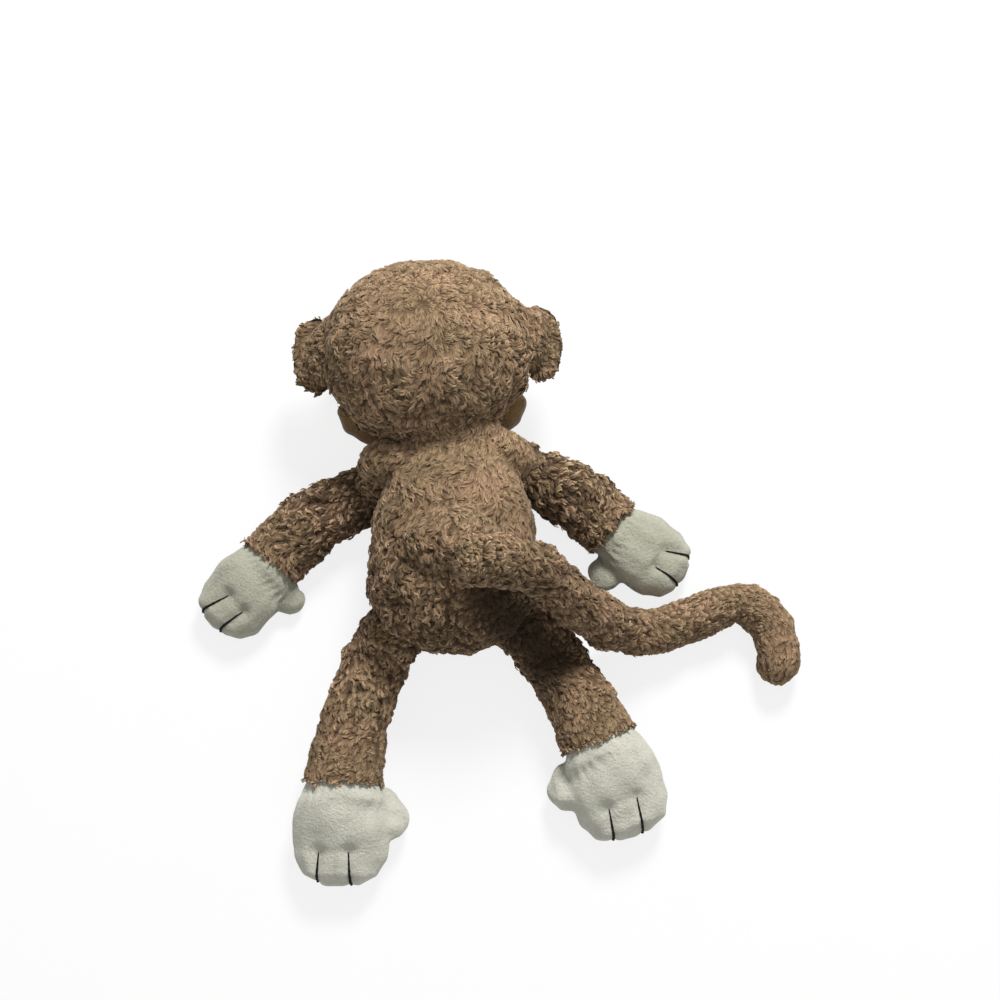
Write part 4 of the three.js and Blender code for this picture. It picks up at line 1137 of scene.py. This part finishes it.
for limb in limbs:
    kind, side = limb.split("_")
    names = limbKinds[kind]
    mitt, upper, lower = names["mitt"], names["upper"] + side, names["lower"] + side
    body = mitt + "_" + side
    lines = mitts[body]["lines"]
    root = pivot(names["joint"] + side)
    way = (root - pivot(limb)).normalized()
    form = forms[body]
    height = mittLook["middleHeight"]

    # puckered where it is gathered into the sleeve, drawn in at its side seam and along the stitched lines
    away = (form.points - np.array(root)) @ np.array(way)
    across = np.cross(np.array(way), (0.0, 0.0, 1.0))
    turn = np.arctan2(form.points[:, 2] - root.z, (form.points - np.array(root)) @ across)
    turn = turn + mittLook["gatherWander"] * waves(form.points, 61, 15 * mm)
    puckers = np.sin(turn * mittLook["gathers"]) * fade(away, mittLook["gatherReach"])
    seam = fade(form.points[:, 2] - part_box(lower)[1].z, mittLook["seamReach"])
    seam *= np.clip(1 - np.abs(form.normals()[:, 2]) * 1.6, 0, 1)
    uneven = mittLook["unevenness"] * waves(form.points, len(body) + 51, mittLook["unevennessEvery"])
    fall = mittLook["backFall"] * fade(away, mittLook["backFallReach"])
    rise = fade(away - mittLook["backRiseAt"], mittLook["backRiseReach"]) * mittLook["backRise"][mitt]
    uneven += (rise - fall) * np.clip(form.normals()[:, 2], 0, 1)
    form.push(uneven + mittLook["gatherDepth"] * puckers - mittLook["seamDepth"] * seam)
    creases = [edgeLine(form.tree(), *line, height) for line in lines]
    # the fingers or toes swell out beside the lines, and a valley joins the starts of these
    near = [fade(besideLine(form.points, run)[0], mittLook["knuckleReach"]) for run in creases]
    upward = np.clip(form.normals()[:, 2], 0, 1)
    form.push(mittLook["knuckleHeight"] * np.max(near, axis=0) * upward)
    first, second, beyond = creases[0][0], creases[1][0], mittLook["valleyBeyond"]
    valley = np.linspace(first * (1 + beyond) - second * beyond, second * (1 + beyond) - first * beyond, 30)
    away = besideLine(form.points, valley)[0]
    form.push(-mittLook["valleyDepth"] * fade(away, mittLook["valleyReach"]) * upward)
    drawIn(form, creases)
    form.smooth(1).rest(0.05 * mm)

    # the hands take the cream darkened as painted shade, the feet the plain cream
    piece = clothPiece(mitt + "Cloth_" + side, form, shadedHandNap if mitt == "hand" else creamNap)
    declare([upper, lower])
    mittBlend = [tuple(root - way * 3 * mm), tuple(root + way * 10 * mm)]
    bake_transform(piece)
    runs = [edgeLine(form.tree(), *line, height, mittLook["threadLift"]) for line in lines]
    thread = threadPiece(mitt + "Stitches_" + side, runs, mittLook["threadRadius"], mittLook["stitch"],
                         blackThread, mittLook["threadStart"])
    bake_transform(thread)
    fillPiece(mitt + "Fill_" + side, mitt + "_stuffing_" + side, body, creases,
              bends=(limb, body, *mittBlend), ends=[root])

print("tail")
# its middle line, in millimetres, from the seam on the back to the tip
tailLine = np.array([
    (0, -8, 74), (21, -12, 84), (46, -18, 66), (76, -25.5, 44), (102, -30, 20),
    (122, -26, 14), (152, -12, 12.5), (169, -9, 12), (183.5, -21.5, 12), (186.5, -41, 12), (187, -54, 12),
]) * mm
tailParts = {"base": "torso", "middle": "tail_base", "tip": "tail_middle"}  # and the body before each


# how far along the tail's middle line each point is, and which way the line goes there
def tailPlace(points):
    starts, ways = tailLine[:-1], np.diff(tailLine, axis=0)
    lengths = np.linalg.norm(ways, axis=1)
    shares = np.clip(((points[:, None] - starts) * ways).sum(2) / lengths**2, 0, 1)
    nearest = starts + shares[..., None] * ways
    best = np.linalg.norm(points[:, None] - nearest, axis=2).argmin(1)
    along = reachAlong(tailLine)[best] + shares[np.arange(len(points)), best] * lengths[best]
    return along, ways[best] / lengths[best, None]


def tailReach(name):
    return tailPlace(np.array([pivot(name)]))[0][0]


# a stretch of pile starts a little before its joint, so that the bend lies inside it
tailStops = [-1.0, tailReach("tail_middle") - 14 * mm, tailReach("tail_tip") - 14 * mm, 10.0]


def stretch(low, high):
    return lambda points: (tailPlace(points)[0] >= low) & (tailPlace(points)[0] < high)


stretches = {"tailPile_" + part: stretch(*tailStops[k : k + 2]) for k, part in enumerate(tailParts)}
tailStray = 0.45


def tailRough(points):
    return np.interp(tailPlace(points)[0], [10 * mm, 50 * mm, 190 * mm], [1.0, 1.5, 0.7])


# the curlier, the longer
def tailGrow(points):
    return 0.62 + 0.27 * tailRough(points)


tailPieces = pilePieces(forms["tail"], 211, lambda points: tailPlace(points)[1], [trees["torso"]], stretches,
                        tailGrow, tailRough, stray=tailStray)
for piece, (part, earlier) in zip(tailPieces, tailParts.items()):
    body = "tail_" + part
    declare([body])
    root = pivot(body)
    way = Vector(tailPlace(np.array([root]))[1][0])
    before, after = (4 * mm, 14 * mm) if part == "base" else (11 * mm, 11 * mm)
    bends = (earlier, body, tuple(root - way * before), tuple(root + way * after))
    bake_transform(piece)
    fillPiece("tailFill_" + part, body + "_stuffing", body, bends=bends,
              ends=[pivot(name) for name in ("tail_middle", "tail_tip")])
